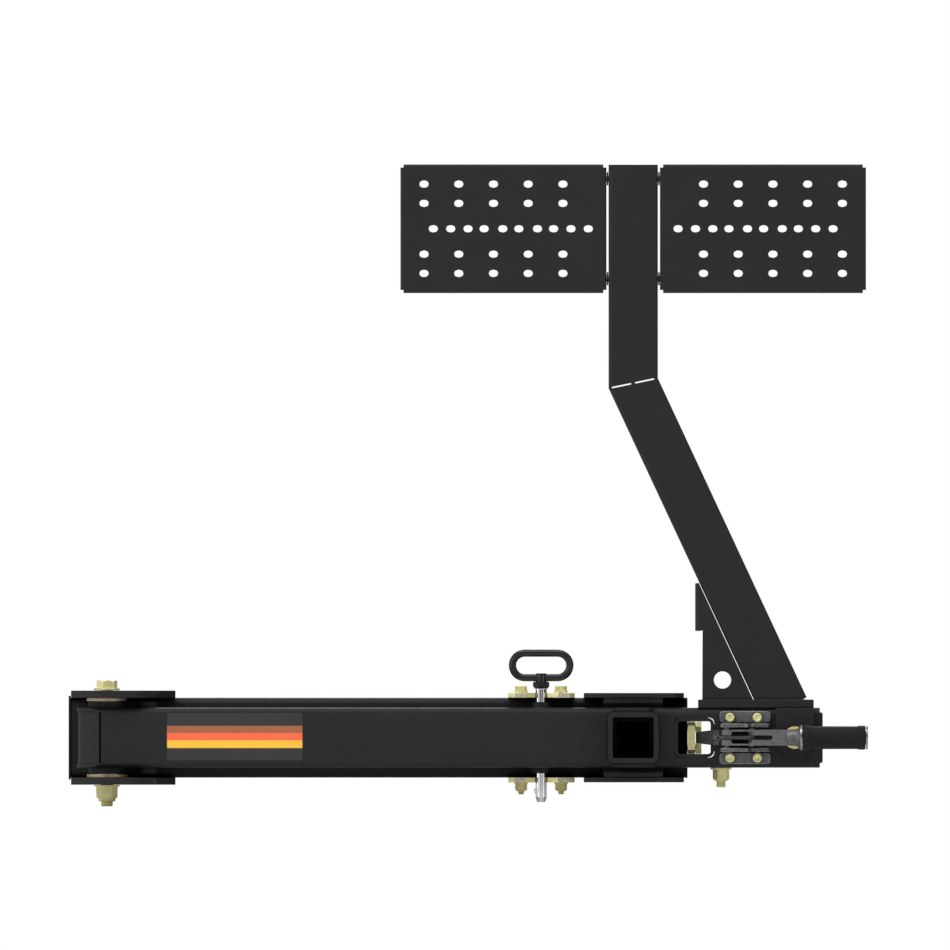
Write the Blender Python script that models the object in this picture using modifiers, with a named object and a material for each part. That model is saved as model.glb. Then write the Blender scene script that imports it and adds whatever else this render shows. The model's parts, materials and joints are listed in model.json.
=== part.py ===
"""Swing-away hitch carrier for a bike rack.

A cross beam plugs into a vehicle's two inch receiver by its stinger.  A swing arm turns on a
vertical bolt at the beam's left end.  A lock pin and an over-centre toggle latch hold the arm
shut.  The arm carries a two inch receiver for the bike rack and a bent mast with two slotted
gear plates.

Units are metres.  +X runs along the beam to the latch, +Y towards the vehicle, +Z up.  The
origin is on the stinger's axis at its hitch pin hole.
"""
import math

import bmesh
import bpy
from mathutils import Matrix, Vector

# ---------------------------------------------------------------- driving dimensions
GAP = 0.0003                    # air left between two touching pieces
INCH = 0.0254

# sides that stand for a circle
SMALL_ROUND = 12
ROUND = 18
LARGE_ROUND = 28

# stations along the stinger's axis
STINGER_REAR = 0.070
BEAM_FRONT = -0.181
BEAM_BACK = BEAM_FRONT + 2 * INCH
BEAM_MID = (BEAM_FRONT + BEAM_BACK) / 2
ARM_SIZE = 3 * INCH
ARM_BACK = BEAM_FRONT - 0.008
ARM_FRONT = ARM_BACK - ARM_SIZE
ARM_MID = (ARM_BACK + ARM_FRONT) / 2
RECEIVER_FRONT = -0.300

# cross beam and stinger
BEAM_LEFT = -0.7196
BEAM_RIGHT = 0.0650
BEAM_HALF_HEIGHT = 2 * INCH
TUBE_WALL = 3 / 16 * INCH
TUBE_CORNER = 0.008
STINGER_HALF = INCH
HITCH_PIN_RADIUS = 0.0081
STINGER_PLUG = 0.003            # plate that closes the stinger's tube near its rear end
STINGER_PLUG_INSET = 0.004
END_PLATE_LEFT = 0.0028
END_PLATE_RIGHT = 0.0042
END_PLATE_LEFT_HALF = 0.0538
END_PLATE_LEFT_MARGIN = 0.003
END_PLATE_RIGHT_HALF = 0.0514

# pivot
PIVOT_X = -0.6736
CLEVIS_THICK = 0.0092
CLEVIS_NOSE = 0.0635
CLEVIS_RIGHT = -0.5859
PIVOT_BOLT_RADIUS = 5 / 16 * INCH
PIVOT_SLEEVE_RADIUS = 0.0237
PIVOT_SLEEVE_BORE = 0.0193
PIVOT_SPACER_RADIUS = 0.0158
THRUST_WASHER_RADIUS = 0.02585
THRUST_WASHER_THICK = 0.0040
HOLD_OPEN_ARM = 0.0516          # hold-open sleeve's distance from the pivot
PIVOT_HEX = 0.0137
PIVOT_HEAD = 0.0099
PIVOT_FLANGE = 0.0163
PIVOT_FLANGE_THICK = 0.0028
PIVOT_TIP_BELOW = 0.088
RUNNING_CLEARANCE = 0.0004

# swing arm
ARM_HALF = ARM_SIZE / 2
ARM_RIGHT = 0.2386
ARM_WALL_START = -0.6810
WRAP_RADIUS = 0.0370
WRAP_THICK = 0.0036
WRAP_GAP = 0.0026               # slot between the wrapped end and the arm's front wall
LOCK_X = -0.1178
SLEEVE_RADIUS = 0.01215
SLEEVE_BORE = 0.0076
SLEEVE_HALF = 0.0456
END_CAP_HALF = 0.0325

# receiver and latch window
RECEIVER_HALF = 0.0327
RECEIVER_BORE = 0.02625
RECEIVER_SIDE_GAP = 0.0011      # slack beside the receiver in the arm's opening
RECEIVER_PIN_SETBACK = 0.017
RECEIVER_PLATE_THICK = 0.0049
WINDOW_LEFT = 0.0526
WINDOW_RIGHT = 0.1038
WINDOW_X = (WINDOW_LEFT + WINDOW_RIGHT) / 2
WINDOW_HALF = (WINDOW_RIGHT - WINDOW_LEFT) / 2
WINDOW_CORNER = 0.009
WINDOW_HOLE_CORNER = 0.0068

# centre cradle
CRADLE_LEFT = -0.0633
CRADLE_FRONT = -0.262
CRADLE_THICK = 0.0061
CRADLE_CHAMFER = 0.013
PAD_HALF = 0.0377
PAD_CLEARANCE = 0.0005

# lock pin and its brackets
PIN_RADIUS = 0.00715
PIN_TOP = 0.0622
PIN_TIP = -0.0823
BALL_RADIUS = 0.0030
BALL_PROUD = 0.0019
BALL_Z = -0.068
BRACKET_LEFT = -0.1600
BRACKET_RIGHT = -0.0749
BRACKET_THICK = 0.0063
BRACKET_FRONT = -0.247
BRACKET_BOLTS = (-0.1435, -0.0924)
SMALL_BOLT_RADIUS = 5 / 32 * INCH
HANDLE_HALF_WIDTH = 0.04175
HANDLE_TOP = 0.1132
HANDLE_BOTTOM = 0.0720
HANDLE_BAR = 0.00475

# toggle latch
LATCH_PIVOT = Vector((0.120, -0.290, 0))
OVER_CENTRE = math.radians(15)
LATCH_CRANK = 0.032
LINK_PIVOT = LATCH_PIVOT + LATCH_CRANK * Vector((math.cos(OVER_CENTRE), math.sin(OVER_CENTRE), 0))
GRIP_Y = -0.307
KEEPER_LEFT = BEAM_RIGHT + GAP + END_PLATE_RIGHT + GAP
KEEPER_THICK = 0.0094
KEEPER_FRONT = -0.252
KEEPER_BOLT_Z = 0.0139
HOOK_TIP = Vector((0.0801, -0.243, 0))
LATCH_BOLT_X = (0.1239, 0.1588)
LATCH_BOLT_Z = 0.0257
LATCH_FLANGE = 0.0035
LATCH_BASE_LEFT = 0.1105
LATCH_BASE_RIGHT = 0.1756
LATCH_BASE_HALF = 0.0339
EAR_LOW = 0.0135
EAR_HIGH = 0.0172
LEVER_HALF = 0.0101
LEVER_SLOT = 0.0029
LINK_HALF = 0.00225
LINK_BORE = 0.0043
NECK_X = 0.2020
GUSSET_HOLE = (0.1143, 0.0738)
GUSSET_HOLE_RADIUS = 0.0118

# mast
MAST_HALF = 0.03155
MAST_DEPTH_HALF = 1.25 * INCH
MAST_WALL = 0.0032
MAST_TOP = 0.7334
MAST_FOOT_Z = 0.0488
MAST_LEFT_FOOT = 0.1544
MAST_RIGHT_FOOT = 0.2234
MAST_BEND_LEFT = 0.4471
MAST_BEND_RIGHT = 0.4602
BASE_PLATE_LEFT = 0.0833
BASE_PLATE_RIGHT = 0.2308
BASE_PLATE_LOW = ARM_HALF + GAP
BASE_PLATE_HIGH = 0.0485
TAB_X = 0.2069
TAB_RADIUS = 0.0240
TAB_THICK = 0.0095
MAST_BOLT_X = 0.1124
GUSSET_SHEET = 0.0025
GUSSET_FOLD = 0.0028
HALF_INCH_RADIUS = 0.25 * INCH

# gear plates
GEAR_WIDTH = 0.2637
GEAR_HEIGHT = 0.1648
GEAR_Z = 0.6514
GEAR_INNER = 0.03425            # inner flange's distance from the mast's centre line
GEAR_FRONT = -0.2570
GEAR_FLANGE = 0.0190
GEAR_SHEET = 0.0030
GEAR_RELIEF = 0.0040
SLOT_LENGTH = 0.0120
SLOT_RADIUS = 0.0045
COLUMN_PITCH = 1.75 * INCH
FIRST_COLUMN = 0.0302
ROW_HEIGHTS = (0.0325, 0.05715)
CENTRE_ROW_MID = 0.1413
CENTRE_ROW = (0.01028, 0.03416, 0.05473, 0.07694, 0.09919)
GEAR_BOLT_RISE = 0.064
GEAR_BOLT_Y = GEAR_FRONT + GEAR_FLANGE * 0.55

# ---------------------------------------------------------------- scene and materials
for old in list(bpy.data.objects):
    bpy.data.objects.remove(old)


def new_collection(name):
    collection = bpy.data.collections.new(name)
    bpy.context.scene.collection.children.link(collection)
    return collection


PARTS = new_collection("swing_away_hitch_carrier")
CUTTERS = new_collection("cutters")


def make_material(name, colour, roughness, metallic):
    material = bpy.data.materials.new(name)
    material.use_nodes = True
    shader = material.node_tree.nodes["Principled BSDF"]
    shader.inputs["Base Color"].default_value = (*colour, 1)
    shader.inputs["Roughness"].default_value = roughness
    shader.inputs["Metallic"].default_value = metallic
    material.diffuse_color = (*colour, 1)
    return material


FINISHES = {
    "powder_coat": ((0.028, 0.028, 0.028), 0.55, 0.0),
    "yellow_zinc": ((0.72, 0.66, 0.36), 0.38, 1.0),
    "bronze": ((0.42, 0.29, 0.20), 0.45, 1.0),
    "plastic": ((0.020, 0.020, 0.020), 0.50, 0.0),
    "chrome": ((0.72, 0.73, 0.75), 0.20, 1.0),
    "blasted_steel": ((0.15, 0.15, 0.15), 0.50, 0.9),
    "steel": ((0.45, 0.45, 0.46), 0.35, 1.0),
    "rubber": ((0.022, 0.022, 0.022), 0.70, 0.0),
}

# each turning or sliding group hangs on an empty that stands on its joint's axis
JOINT_POINTS = {
    "arm_pivot": Vector((PIVOT_X, ARM_MID, 0)),
    "lock_pin_axis": Vector((LOCK_X, ARM_MID, 0)),
    "ball_axis": Vector((LOCK_X - PIN_RADIUS - BALL_PROUD + BALL_RADIUS, ARM_MID, BALL_Z)),
    "latch_pivot": LATCH_PIVOT,
    "link_pivot": LINK_PIVOT,
}
JOINT_PARENTS = {
    "lock_pin_axis": "arm_pivot",
    "ball_axis": "lock_pin_axis",
    "latch_pivot": "arm_pivot",
    "link_pivot": "latch_pivot",
}


def hang(child, parent):
    """Parent child to parent and leave it where it is."""
    bpy.context.view_layer.update()
    child.parent = parent
    child.matrix_parent_inverse = parent.matrix_world.inverted()


def make_joint_empties():
    empties = {}
    for name, point in JOINT_POINTS.items():
        empty = bpy.data.objects.new(name, None)
        empty.empty_display_size = 0.03
        empty.location = point
        PARTS.objects.link(empty)
        empties[name] = empty
    for child, parent in JOINT_PARENTS.items():
        hang(empties[child], empties[parent])
    return empties


MATERIALS = {name: make_material(name, *values) for name, values in FINISHES.items()}
EMPTIES = make_joint_empties()

# ---------------------------------------------------------------- outlines
def arc(centre, radius, start_deg, end_deg, steps):
    points = []
    for i in range(steps + 1):
        angle = math.radians(start_deg + (end_deg - start_deg) * i / steps)
        points.append((centre[0] + radius * math.cos(angle), centre[1] + radius * math.sin(angle)))
    return points


def circle(centre, radius, segments):
    return arc(centre, radius, 0, 360, segments)[:-1]


def rounded_rectangle(centre, half_u, half_v, radius, steps=3):
    points = []
    for side_u, side_v, start in ((1, 1, 0), (-1, 1, 90), (-1, -1, 180), (1, -1, 270)):
        corner = (centre[0] + side_u * (half_u - radius), centre[1] + side_v * (half_v - radius))
        points += arc(corner, radius, start, start + 90, steps)
    return points


def stadium(centre, half_length, radius, steps):
    """A slot with round ends, its length along the first axis."""
    reach = half_length - radius
    right = arc((centre[0] + reach, centre[1]), radius, -90, 90, steps)
    left = arc((centre[0] - reach, centre[1]), radius, 90, 270, steps)
    return right + left


def disc_hull(discs, steps=8):
    """The tight outline round several (x, y, radius) discs."""
    points = []
    for x, y, radius in discs:
        points += circle((x, y), radius, 4 * steps)
    points.sort()

    def half_hull(ordered):
        hull = []
        for p in ordered:
            while len(hull) > 1:
                (ax, ay), (bx, by) = hull[-2], hull[-1]
                if (bx - ax) * (p[1] - ay) - (by - ay) * (p[0] - ax) > 1e-12:
                    break
                hull.pop()
            hull.append(p)
        return hull[:-1]

    return half_hull(points) + half_hull(points[::-1])


# ---------------------------------------------------------------- solids
# the direction that a flat outline's thickness runs in, as a turn of the outline's own axes
FACING = {
    "x": Matrix(((0, 0, 1), (1, 0, 0), (0, 1, 0))).to_4x4(),
    "y": Matrix(((1, 0, 0), (0, 0, -1), (0, 1, 0))).to_4x4(),
    "z": Matrix.Identity(4),
}
AXIS_TURN = {
    "x": Matrix.Rotation(math.radians(90), 4, "Y"),
    "y": Matrix.Rotation(math.radians(-90), 4, "X"),
    "z": Matrix.Identity(4),
}


def add_object(name, mesh, material=None, empty=None, sharp_deg=35):
    """A mesh object: a part when it has a material, a hidden cutter when it has none."""
    obj = bpy.data.objects.new(name, mesh)
    if material is None:
        CUTTERS.objects.link(obj)
        obj.hide_render = True
        obj.display_type = "WIRE"
        return obj
    PARTS.objects.link(obj)
    mesh.materials.append(MATERIALS[material])
    mesh.shade_smooth()
    mesh.set_sharp_from_angle(angle=math.radians(sharp_deg))
    if empty is not None:
        centre = EMPTIES[empty].matrix_world.translation.copy()
        mesh.transform(Matrix.Translation(-centre))
        obj.location = centre
        hang(obj, EMPTIES[empty])
    return obj


def mesh_from(bm, name):
    bmesh.ops.recalc_face_normals(bm, faces=bm.faces)
    mesh = bpy.data.meshes.new(name)
    bm.to_mesh(mesh)
    bm.free()
    return mesh


def plate_mesh(outlines, low, high, facing):
    """A flat outline, with holes for the outlines inside it, between two heights."""
    curve = bpy.data.curves.new("outline", "CURVE")
    curve.dimensions = "2D"
    curve.fill_mode = "BOTH"
    curve.extrude = (high - low) / 2
    for outline in outlines:
        spline = curve.splines.new("POLY")
        spline.points.add(len(outline) - 1)
        for point, (u, v) in zip(spline.points, outline):
            point.co = (u, v, 0, 1)
        spline.use_cyclic_u = True
    holder = bpy.data.objects.new("outline", curve)
    CUTTERS.objects.link(holder)
    evaluated = holder.evaluated_get(bpy.context.evaluated_depsgraph_get())
    mesh = bpy.data.meshes.new_from_object(evaluated)
    bpy.data.objects.remove(holder)
    bpy.data.curves.remove(curve)
    middle = (low + high) / 2
    rise = -middle if facing == "y" else middle
    bm = bmesh.new()
    bm.from_mesh(mesh)
    bmesh.ops.remove_doubles(bm, verts=bm.verts, dist=1e-6)
    bmesh.ops.transform(bm, matrix=FACING[facing] @ Matrix.Translation((0, 0, rise)), verts=bm.verts)
    bpy.data.meshes.remove(mesh)
    return mesh_from(bm, "plate")


def box_mesh(low, high, bevel=0.0, segments=2):
    low, high = Vector(low), Vector(high)
    bm = bmesh.new()
    bmesh.ops.create_cube(bm, size=1)
    size = high - low
    bmesh.ops.scale(bm, vec=size, verts=bm.verts)
    bmesh.ops.translate(bm, vec=(low + high) / 2, verts=bm.verts)
    if bevel:
        bmesh.ops.bevel(bm, geom=bm.edges[:], offset=bevel, segments=segments, profile=0.5,
                        affect="EDGES")
    return mesh_from(bm, "box")


def rod_mesh(centre, radius, low, high, axis, segments=ROUND, top_radius=None):
    """A cylinder or cone along one axis, from low to high on that axis."""
    bm = bmesh.new()
    bmesh.ops.create_cone(bm, cap_ends=True, segments=segments, radius1=radius,
                          radius2=radius if top_radius is None else top_radius, depth=high - low)
    place = Vector(centre)
    place["xyz".index(axis)] = (low + high) / 2
    bmesh.ops.transform(bm, matrix=Matrix.Translation(place) @ AXIS_TURN[axis], verts=bm.verts)
    return mesh_from(bm, "rod")


def turned_mesh(centre, profile, axis, segments=ROUND):
    """A profile of (radius, height) pairs, top to bottom, spun round an axis through centre."""
    mesh = bpy.data.meshes.new("profile")
    bm = bmesh.new()
    verts = [bm.verts.new((radius, 0, height)) for radius, height in profile]
    for first, second in zip(verts, verts[1:]):
        bm.edges.new((first, second))
    if profile[0][0] > 0:
        bm.edges.new((verts[-1], verts[0]))
    bm.to_mesh(mesh)
    bm.free()
    holder = bpy.data.objects.new("profile", mesh)
    CUTTERS.objects.link(holder)
    spin = holder.modifiers.new("spin", "SCREW")
    spin.steps = segments
    spin.render_steps = segments
    spin.use_merge_vertices = True
    spin.merge_threshold = 0.00002
    evaluated = holder.evaluated_get(bpy.context.evaluated_depsgraph_get())
    result = bpy.data.meshes.new_from_object(evaluated)
    bpy.data.objects.remove(holder)
    bm = bmesh.new()
    bm.from_mesh(result)
    bmesh.ops.remove_doubles(bm, verts=bm.verts, dist=1e-6)
    turn = Matrix.Translation(Vector(centre)) @ AXIS_TURN[axis]
    bmesh.ops.transform(bm, matrix=turn, verts=bm.verts)
    bpy.data.meshes.remove(result)
    return mesh_from(bm, "turned")


def joined(meshes):
    """Several separate bodies in one mesh."""
    bm = bmesh.new()
    for mesh in meshes:
        bm.from_mesh(mesh)
        bpy.data.meshes.remove(mesh)
    return mesh_from(bm, "group")


def cut(obj, mesh):
    """Take a mesh's shape out of a part with a live, exact boolean."""
    modifier = obj.modifiers.new("cut", "BOOLEAN")
    modifier.operation = "DIFFERENCE"
    modifier.solver = "EXACT"
    modifier.object = add_object(obj.name + "_cutter", mesh)


def fused_mesh(*meshes):
    """One body made by the union of overlapping meshes."""
    holder = add_object("fused", meshes[0])
    tools = []
    for mesh in meshes[1:]:
        tool = add_object("tool", mesh)
        modifier = holder.modifiers.new("union", "BOOLEAN")
        modifier.operation = "UNION"
        modifier.solver = "EXACT"
        modifier.object = tool
        tools.append(tool)
    bpy.context.view_layer.update()
    evaluated = holder.evaluated_get(bpy.context.evaluated_depsgraph_get())
    result = bpy.data.meshes.new_from_object(evaluated)
    for obj in [holder] + tools:
        bpy.data.objects.remove(obj)
    return result


def mirrored(mesh, axis_index):
    """The same mesh on the other side of the plane through the origin."""
    other = mesh.copy()
    scale = [1, 1, 1]
    scale[axis_index] = -1
    bm = bmesh.new()
    bm.from_mesh(other)
    bmesh.ops.scale(bm, vec=scale, verts=bm.verts)
    bpy.data.meshes.remove(other)
    return mesh_from(bm, mesh.name)


def hex_bolt(centre, axis, seat, way, corner, head_high, radius, length, rings=(), tip=0.0015):
    """A hex head on a seat, a shank that runs the other way, and what is threaded on it.

    Each ring is (start, end, radius, sides): a washer, or a nut when it has six sides.
    """
    head = sorted((seat, seat + way * head_high))
    shank = sorted((seat + way * head_high / 2, seat - way * (length - tip)))
    point = sorted((seat - way * (length - 2 * tip), seat - way * length))
    nose = (radius, radius - tip) if way < 0 else (radius - tip, radius)
    threaded = [rod_mesh(centre, ring_radius, *sorted((start, end)), axis, sides)
                for start, end, ring_radius, sides in rings]
    return fused_mesh(
        rod_mesh(centre, corner, *head, axis, 6),
        rod_mesh(centre, radius, *shank, axis, SMALL_ROUND),
        rod_mesh(centre, nose[0] - 0.0001, *point, axis, SMALL_ROUND, nose[1] - 0.0001), *threaded)


def hex_nut(centre, axis, low, high, corner, bore):
    outer = [(centre_u + corner * math.cos(math.radians(60 * i)),
              centre_v + corner * math.sin(math.radians(60 * i)))
             for i in range(6) for centre_u, centre_v in [plane_centre(centre, axis)]]
    return plate_mesh([outer, circle(plane_centre(centre, axis), bore, SMALL_ROUND)], low, high, axis)


def washer(centre, axis, low, high, radius, bore, segments=ROUND):
    at = plane_centre(centre, axis)
    return plate_mesh([circle(at, radius, segments), circle(at, bore, segments)], low, high, axis)


def plane_centre(centre, axis):
    """Where a point falls on the outline plane that faces along an axis."""
    x, y, z = centre
    return {"x": (y, z), "y": (x, z), "z": (x, y)}[axis]


# ---------------------------------------------------------------- base: beam and stinger
def make_base_beam():
    at = (BEAM_MID, 0)
    depth_half = (BEAM_BACK - BEAM_FRONT) / 2
    outer = rounded_rectangle(at, depth_half, BEAM_HALF_HEIGHT, TUBE_CORNER)
    inner = rounded_rectangle(at, depth_half - TUBE_WALL, BEAM_HALF_HEIGHT - TUBE_WALL,
                              TUBE_CORNER - TUBE_WALL)
    mesh = plate_mesh([outer, inner], BEAM_LEFT, BEAM_RIGHT, "x")
    beam = add_object("base_beam", mesh, "powder_coat")
    stinger_hole = STINGER_HALF + GAP
    cut(beam, box_mesh((-stinger_hole, BEAM_FRONT - 0.01, -stinger_hole),
                       (stinger_hole, BEAM_BACK + 0.01, stinger_hole)))
    for x in BRACKET_BOLTS:
        cut(beam, rod_mesh((x, BEAM_MID, 0), SMALL_BOLT_RADIUS + GAP, -0.07, 0.07, "z", SMALL_ROUND))


def make_end_plates():
    left = BEAM_LEFT - GAP
    margin = END_PLATE_LEFT_MARGIN
    mesh = box_mesh((left - END_PLATE_LEFT, BEAM_FRONT - margin, -END_PLATE_LEFT_HALF),
                    (left, BEAM_BACK + margin, END_PLATE_LEFT_HALF), 0.0008)
    add_object("beam_end_plate_left", mesh, "powder_coat")
    low = BEAM_RIGHT + GAP
    high = low + END_PLATE_RIGHT
    holes = [circle((BEAM_MID, side * KEEPER_BOLT_Z), SMALL_BOLT_RADIUS + GAP, SMALL_ROUND)
             for side in (-1, 1)]
    outline = rounded_rectangle((BEAM_MID, 0), INCH, END_PLATE_RIGHT_HALF, 0.003, 2)
    add_object("beam_end_plate_right", plate_mesh([outline] + holes, low, high, "x"), "powder_coat")


def make_stinger():
    outer = rounded_rectangle((0, 0), STINGER_HALF, STINGER_HALF, 0.005)
    inner_half = STINGER_HALF - TUBE_WALL
    inner = rounded_rectangle((0, 0), inner_half, inner_half, 0.002, 2)
    tube = plate_mesh([outer, inner], BEAM_FRONT, STINGER_REAR, "y")
    plug_half = inner_half + TUBE_WALL / 2
    plug_back = STINGER_REAR - STINGER_PLUG_INSET
    plug = box_mesh((-plug_half, plug_back - STINGER_PLUG, -plug_half), (plug_half, plug_back, plug_half))
    stinger = add_object("hitch_stinger", fused_mesh(tube, plug), "powder_coat")
    cut(stinger, rod_mesh((0, 0, 0), HITCH_PIN_RADIUS, -0.04, 0.04, "x"))


# ---------------------------------------------------------------- base: pivot
def clevis_outline():
    nose_start = math.degrees(math.acos((BEAM_LEFT - PIVOT_X) / CLEVIS_NOSE))
    nose = arc((PIVOT_X, ARM_MID), CLEVIS_NOSE, -nose_start, 0, 18)
    shoulder = ARM_BACK - 0.001
    return [(BEAM_LEFT, BEAM_BACK)] + nose + [(CLEVIS_RIGHT, shoulder), (CLEVIS_RIGHT, BEAM_BACK)]


def make_clevis_plates():
    low = BEAM_HALF_HEIGHT + GAP
    holes = [circle((PIVOT_X, ARM_MID), PIVOT_BOLT_RADIUS + GAP, ROUND),
             circle((PIVOT_X, ARM_MID - HOLD_OPEN_ARM), SLEEVE_BORE, ROUND)]
    mesh = plate_mesh([clevis_outline()] + holes, low, low + CLEVIS_THICK, "z")
    add_object("clevis_plate_top", mesh, "powder_coat")
    add_object("clevis_plate_bottom", mirrored(mesh, 2), "powder_coat")


def make_pivot_hardware():
    centre = (PIVOT_X, ARM_MID, 0)
    plate_top = BEAM_HALF_HEIGHT + GAP + CLEVIS_THICK
    washer_bore = PIVOT_BOLT_RADIUS + GAP
    seat = plate_top + GAP + PIVOT_FLANGE_THICK
    flange = (plate_top + GAP, seat + 0.0002, PIVOT_FLANGE, ROUND)
    bolt = hex_bolt(centre, "z", seat, 1, PIVOT_HEX, PIVOT_HEAD, PIVOT_BOLT_RADIUS,
                    seat + PIVOT_TIP_BELOW, [flange])
    add_object("pivot_bolt", bolt, "yellow_zinc")
    nut_top = -plate_top - GAP
    nut = hex_nut(centre, "z", nut_top - 0.0170, nut_top - 0.0018, PIVOT_HEX, washer_bore)
    disc = washer(centre, "z", nut_top - 0.0020, nut_top, PIVOT_FLANGE, washer_bore)
    collar = washer(centre, "z", nut_top - 0.0210, nut_top - 0.0168, 0.0108, washer_bore)
    add_object("pivot_nut", fused_mesh(nut, disc, collar), "yellow_zinc")
    reach = BEAM_HALF_HEIGHT
    spacer = washer(centre, "z", -reach, reach, PIVOT_SPACER_RADIUS, washer_bore)
    add_object("pivot_spacer", spacer, "steel")
    for name, side in (("thrust_washer_top", 1), ("thrust_washer_bottom", -1)):
        ends = sorted((side * reach, side * (reach - THRUST_WASHER_THICK)))
        ring = washer(centre, "z", *ends, THRUST_WASHER_RADIUS, PIVOT_SPACER_RADIUS + RUNNING_CLEARANCE,
                      LARGE_ROUND)
        add_object(name, ring, "bronze")


# ---------------------------------------------------------------- base: cradle, brackets, keeper
def make_cradle():
    low = BEAM_HALF_HEIGHT + GAP
    outline = [(CRADLE_LEFT, BEAM_BACK), (BEAM_RIGHT, BEAM_BACK),
               (BEAM_RIGHT, CRADLE_FRONT + CRADLE_CHAMFER),
               (BEAM_RIGHT - CRADLE_CHAMFER, CRADLE_FRONT),
               (CRADLE_LEFT + CRADLE_CHAMFER, CRADLE_FRONT),
               (CRADLE_LEFT, CRADLE_FRONT + CRADLE_CHAMFER)]
    mesh = plate_mesh([outline], low, low + CRADLE_THICK, "z")
    add_object("cradle_plate_top", mesh, "powder_coat")
    add_object("cradle_plate_bottom", mirrored(mesh, 2), "powder_coat")


def make_wear_pads():
    low = ARM_HALF + PAD_CLEARANCE
    high = BEAM_HALF_HEIGHT
    front = CRADLE_FRONT + 0.004
    lead_in = 0.006
    outline = [(BEAM_FRONT - 0.002, low), (BEAM_FRONT - 0.002, high), (front, high),
               (front, low + lead_in), (front + lead_in, low)]
    mesh = plate_mesh([outline], -PAD_HALF, PAD_HALF, "x")
    add_object("wear_pad_top", mesh, "plastic")
    add_object("wear_pad_bottom", mirrored(mesh, 2), "plastic")


def bracket_outline():
    """A plate whose front opens in a V that leads into a slot for the lock pin."""
    slot_half = PIN_RADIUS + 0.0006
    mouth_half = 0.0210
    throat = ARM_MID - 0.009
    slot = arc((LOCK_X, ARM_MID), slot_half, 0, 180, 8)
    return ([(BRACKET_LEFT, BEAM_BACK), (BRACKET_LEFT, BRACKET_FRONT + 0.008),
             (BRACKET_LEFT + 0.008, BRACKET_FRONT), (LOCK_X - mouth_half, BRACKET_FRONT),
             (LOCK_X - slot_half, throat)] + slot[::-1]
            + [(LOCK_X + slot_half, throat), (LOCK_X + mouth_half, BRACKET_FRONT),
               (BRACKET_RIGHT - 0.008, BRACKET_FRONT), (BRACKET_RIGHT, BRACKET_FRONT + 0.008),
               (BRACKET_RIGHT, BEAM_BACK)])


def ball_groove(low, high):
    """The groove that lets the detent ball pass a plate or a sleeve."""
    at = JOINT_POINTS["ball_axis"]
    return rod_mesh(at, BALL_RADIUS + GAP, low, high, "z", SMALL_ROUND)


def make_pin_brackets():
    low = BEAM_HALF_HEIGHT + GAP
    holes = [circle((x, BEAM_MID), SMALL_BOLT_RADIUS + GAP, SMALL_ROUND) for x in BRACKET_BOLTS]
    mesh = plate_mesh([bracket_outline()] + holes, low, low + BRACKET_THICK, "z")
    top = add_object("pin_bracket_top", mesh, "yellow_zinc")
    bottom = add_object("pin_bracket_bottom", mirrored(mesh, 2), "yellow_zinc")
    cut(top, ball_groove(low - 0.01, low + 0.02))
    cut(bottom, ball_groove(-low - 0.02, -low + 0.01))


def make_bracket_hardware():
    plate = BEAM_HALF_HEIGHT + GAP + BRACKET_THICK + GAP
    seat = plate + 0.0025
    nut_high = 0.0090
    rings = [(plate, seat + 0.0002, 0.0088, ROUND), (-plate, -seat - 0.0002, 0.0088, ROUND),
             (-seat, -seat - nut_high, 0.0077, 6)]
    for name, x in zip(("bracket_bolt_left", "bracket_bolt_right"), BRACKET_BOLTS):
        bolt = hex_bolt((x, BEAM_MID, 0), "z", seat, 1, 0.0077, 0.0060, SMALL_BOLT_RADIUS,
                        seat + 0.0725, rings)
        add_object(name, bolt, "yellow_zinc")


def make_keeper():
    """A bar on the beam's end that reaches forward into the arm's window."""
    left = KEEPER_LEFT
    right = left + KEEPER_THICK
    tall = 0.0213
    low_tall = 0.0195
    chamfer = 0.004
    step = ARM_BACK + 0.004
    upper = [(BEAM_BACK - 0.005, tall - chamfer), (BEAM_BACK - 0.005 - chamfer, tall), (step, tall),
             (step - 0.002, low_tall), (KEEPER_FRONT + chamfer, low_tall),
             (KEEPER_FRONT, low_tall - chamfer)]
    outline = upper + [(y, -z) for y, z in reversed(upper)]
    hook_slot = rounded_rectangle((KEEPER_FRONT + 0.0125, 0), 0.0055, 0.0080, 0.002, 2)
    holes = [circle((BEAM_MID, side * KEEPER_BOLT_Z), SMALL_BOLT_RADIUS + GAP, SMALL_ROUND)
             for side in (-1, 1)]
    mesh = plate_mesh([outline, hook_slot] + holes, left, right, "x")
    add_object("latch_keeper", mesh, "yellow_zinc")
    nut = (BEAM_RIGHT, BEAM_RIGHT - 0.0065, 0.0077, 6)
    for name, side in (("keeper_bolt_upper", 1), ("keeper_bolt_lower", -1)):
        bolt = hex_bolt((0, BEAM_MID, side * KEEPER_BOLT_Z), "x", right + GAP, 1, 0.0077, 0.0079,
                        SMALL_BOLT_RADIUS, 0.026, [nut])
        add_object(name, bolt, "yellow_zinc")


# ---------------------------------------------------------------- arm: tube and sleeves
def round_end_cutter():
    """What lies outside the arm's half-round end, as one C-shaped block."""
    end = arc((PIVOT_X, ARM_MID), ARM_HALF, 270, 90, 18)
    margin = 0.02
    outline = ([(PIVOT_X, ARM_FRONT - margin)] + end
               + [(PIVOT_X, ARM_BACK + margin), (PIVOT_X - ARM_SIZE, ARM_BACK + margin),
                  (PIVOT_X - ARM_SIZE, ARM_FRONT - margin)])
    return plate_mesh([outline], -ARM_SIZE, ARM_SIZE, "z")


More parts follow.
